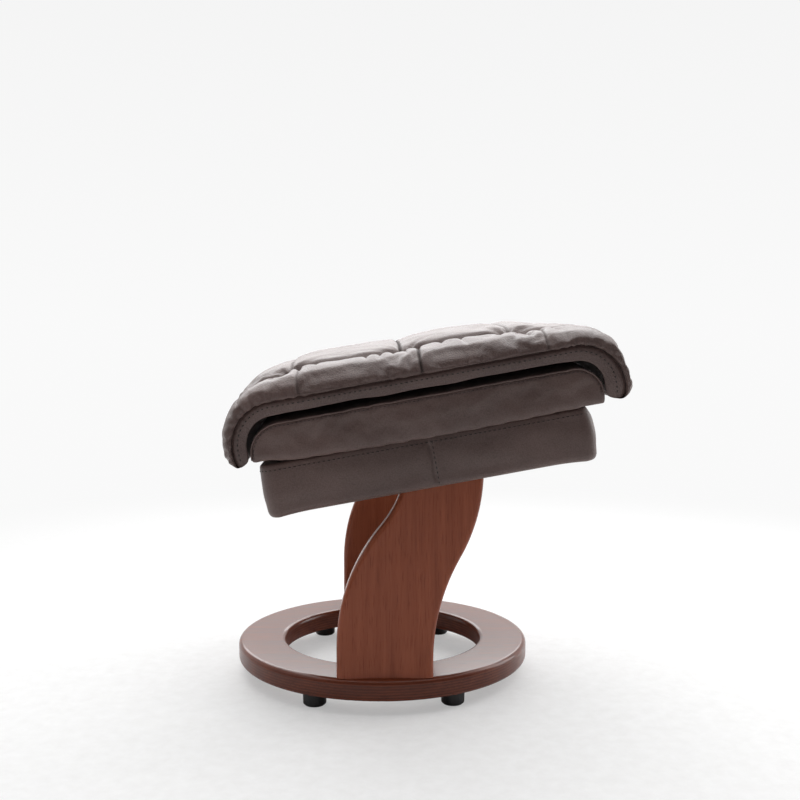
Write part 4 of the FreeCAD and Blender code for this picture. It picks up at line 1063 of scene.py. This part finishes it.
def make_linings():
    """Cloth glued in the compartment and under the lid, and the black cover under the box."""
    levels = [(0.0, -0.0032)] + [(0.0, level) for level in np.linspace(-0.005, -0.044, 9)]
    levels += [(0.0012, -0.0470), (0.0040, -0.0486)]
    deepest = min(ROOM_SIDE, (ROOM_FRONT - ROOM_REAR) / 2) - 0.005
    levels += [(inset, LINING_FLOOR) for inset in np.linspace(0.012, deepest, 16)]
    middle = np.array(((ROOM_REAR + ROOM_FRONT) / 2, 0))
    rings = []
    for inset, level in levels:
        gap = LINING_GAP + inset
        radius = max(0.006 - inset * 0.02, 0.0005)
        ring = rounded_loop(ROOM_REAR + gap, ROOM_FRONT - gap, ROOM_SIDE - gap, radius)
        soft = 0.0006 * (1 + ripple(ring[:, 0] / 0.035, ring[:, 1] / 0.035 + level / 0.02, 6.5))
        if inset > 0.003:
            level = level + soft
        else:
            ring = ring + unit(middle - ring) * soft[:, None]
        rings.append(tilted(ring[:, 0], ring[:, 1], level))
    lining = ring_piece("compartment_lining", rings, (len(rings) - 1,))
    turn_faces(lining, facing=1)
    thicken(lining, LINING_CLOTH)
    finish_piece(lining, lining_cloth, "base", "lining_cloth", "box_lining")
    flat_cloth("lid_cloth", (0.010, 0.373, 0.196), 0.0022, 0.0004, lining_cloth, "lid", "lining_cloth",
               "lid_lining")
    flat_cloth("under_cloth", (0.012, 0.358, 0.188), -0.0603, 0.0008, dust_cloth, "base", "dust_cloth",
               "box_dust_cover")


def flat_cloth(name, reach, level, wave, material, body, slot, stands_for):
    """A stretched sheet that faces down, with soft waves and its hem turned in."""
    rear, front, side = reach
    deepest = min(side, (front - rear) / 2) - 0.005
    rings = []
    for inset in (0.0, 0.0015, 0.004, *np.linspace(0.010, deepest, 18)):
        ring = rounded_loop(rear + inset, front - inset, side - inset, max(0.010 - inset * 0.02, 0.0005))
        hem = 0.0004 * bell(inset - 0.006, 0.003)
        soft = wave * ripple(ring[:, 0] / 0.06, ring[:, 1] / 0.06, 8.5) * smoothstep(0, 0.03, inset)
        rings.append(tilted(ring[:, 0], ring[:, 1], level - hem - wave + soft))
    piece = ring_piece(name, rings, (len(rings) - 1,))
    turn_faces(piece, facing=-1)
    thicken(piece, SHEET_CLOTH)
    finish_piece(piece, material, body, slot, stands_for)


make_topper()
make_pad()
make_box_cover()
make_linings()
sew("topper_stitches", "topper_pillow", topper_rows(), "lid", 0.0056, 0.0030, 0.0012)
sew("pad_stitches", "lower_pad", pad_rows(-0.0035, 0.015, 0.0012), "lid", 0.0046, 0.0028, 0.0008)
sew("box_stitches", "box_leather", box_rows(), "base", 0.0054, 0.0036, 0.0010)

# Studio: floor, lights and camera
BACKDROP_LOW, BACKDROP_HIGH = 0.95, 0.91
# Name, place, target, width, height and power of each light
SOFTBOXES = (
    ("overhead", (0.0, 0.60, 1.9), (0, 0.5, 0.3), 3.0, 3.0, 46),
    ("back_window", (-0.2, 2.3, 1.5), (0, 0, 0.25), 2.6, 1.2, 38),
    ("left_window", (-1.6, -0.6, 1.1), (0, 0, 0.25), 1.2, 1.2, 2),
    ("right_rim", (1.5, 0.5, 0.9), (0.1, 0, 0.3), 0.9, 1.2, 12),
)
CAMERA_PLACE = (-0.0592, -1.3473, 0.4463)
CAMERA_DOWN, CAMERA_TURN = 4.32, -1.51
CAMERA_LENS, CAMERA_SENSOR = 47.7, 36


def make_floor():
    """A white floor that fades, for the camera alone, to the backdrop's tone."""
    bpy.ops.mesh.primitive_plane_add(size=30)
    floor = bpy.context.object
    floor.name = "studio_floor"
    material, tree, shader = new_material("studio_floor")
    where = object_space(tree)
    grit = cloudy(tree, Vector=where, Scale=55.0, Detail=7.0, Roughness=0.7)
    fill(tree, shader, Base_Color=toned(tree, grit, (0.76, 0.755, 0.75), (0.84, 0.84, 0.84), 0.35, 0.65),
         Normal=bumped(tree, grit, 0.25, 0.002), Roughness=0.75)
    glow = place(tree, "ShaderNodeEmission", Color=(*[BACKDROP_LOW] * 3, 1), Strength=1.0)
    length = place(tree, "ShaderNodeVectorMath", operation="LENGTH")
    feed(tree, where, length.inputs[0])
    fade = remap(tree, length.outputs["Value"], interpolation_type="SMOOTHSTEP", From_Min=0.25, From_Max=1.5,
                 To_Min=0.40)
    seen = place(tree, "ShaderNodeLightPath").outputs["Is Camera Ray"]
    share = calc(tree, "MULTIPLY", fade, seen)
    surface = mix_shader(tree, share, shader.outputs["BSDF"], glow.outputs["Emission"])
    fill(tree, tree.nodes["Material Output"], Surface=surface)
    floor.data.materials.append(material)


def make_world():
    """Light from behind, more of it for reflections, and a plain backdrop for the camera."""
    world = bpy.data.worlds.new("studio")
    world.use_nodes = True
    tree = world.node_tree
    where = place(tree, "ShaderNodeTexCoord").outputs["Generated"]
    split = place(tree, "ShaderNodeSeparateXYZ", Vector=where).outputs
    light = tree.nodes["Background"]
    around = remap(tree, split["Y"], From_Min=-0.3, From_Max=0.7, To_Min=0.15, To_Max=0.80)
    fill(tree, light, Color=(1, 1, 1, 1), Strength=around)
    behind = remap(tree, split["Y"], From_Min=-0.35, From_Max=0.45, To_Min=0.12, To_Max=1.0)
    mirrored = place(tree, "ShaderNodeBackground", Color=(1, 1, 1, 1), Strength=behind)
    height = remap(tree, split["Z"], From_Min=0.0, From_Max=0.28, To_Min=BACKDROP_LOW, To_Max=BACKDROP_HIGH)
    backdrop = place(tree, "ShaderNodeBackground", Color=height, Strength=1.0)
    rays = place(tree, "ShaderNodeLightPath").outputs
    glossy = mix_shader(tree, rays["Is Glossy Ray"], light.outputs["Background"],
                        mirrored.outputs["Background"])
    surface = mix_shader(tree, rays["Is Camera Ray"], glossy, backdrop.outputs["Background"])
    fill(tree, tree.nodes["World Output"], Surface=surface)
    scene.world = world


def softbox(name, where, target, width, height, power):
    lamp = bpy.data.lights.new(name, "AREA")
    lamp.shape = "RECTANGLE"
    lamp.size, lamp.size_y = width, height
    lamp.energy = power
    box = add_object(name, lamp)
    box.location = where
    box.rotation_euler = (Vector(target) - Vector(where)).to_track_quat("-Z", "Y").to_euler()


def make_camera():
    camera = add_object("camera", bpy.data.cameras.new("camera"))
    camera.location = CAMERA_PLACE
    camera.rotation_euler = (math.radians(90 - CAMERA_DOWN), 0, math.radians(CAMERA_TURN))
    camera.data.lens = CAMERA_LENS
    camera.data.sensor_width = CAMERA_SENSOR
    scene.camera = camera


make_floor()
make_world()
for settings in SOFTBOXES:
    softbox(*settings)
make_camera()
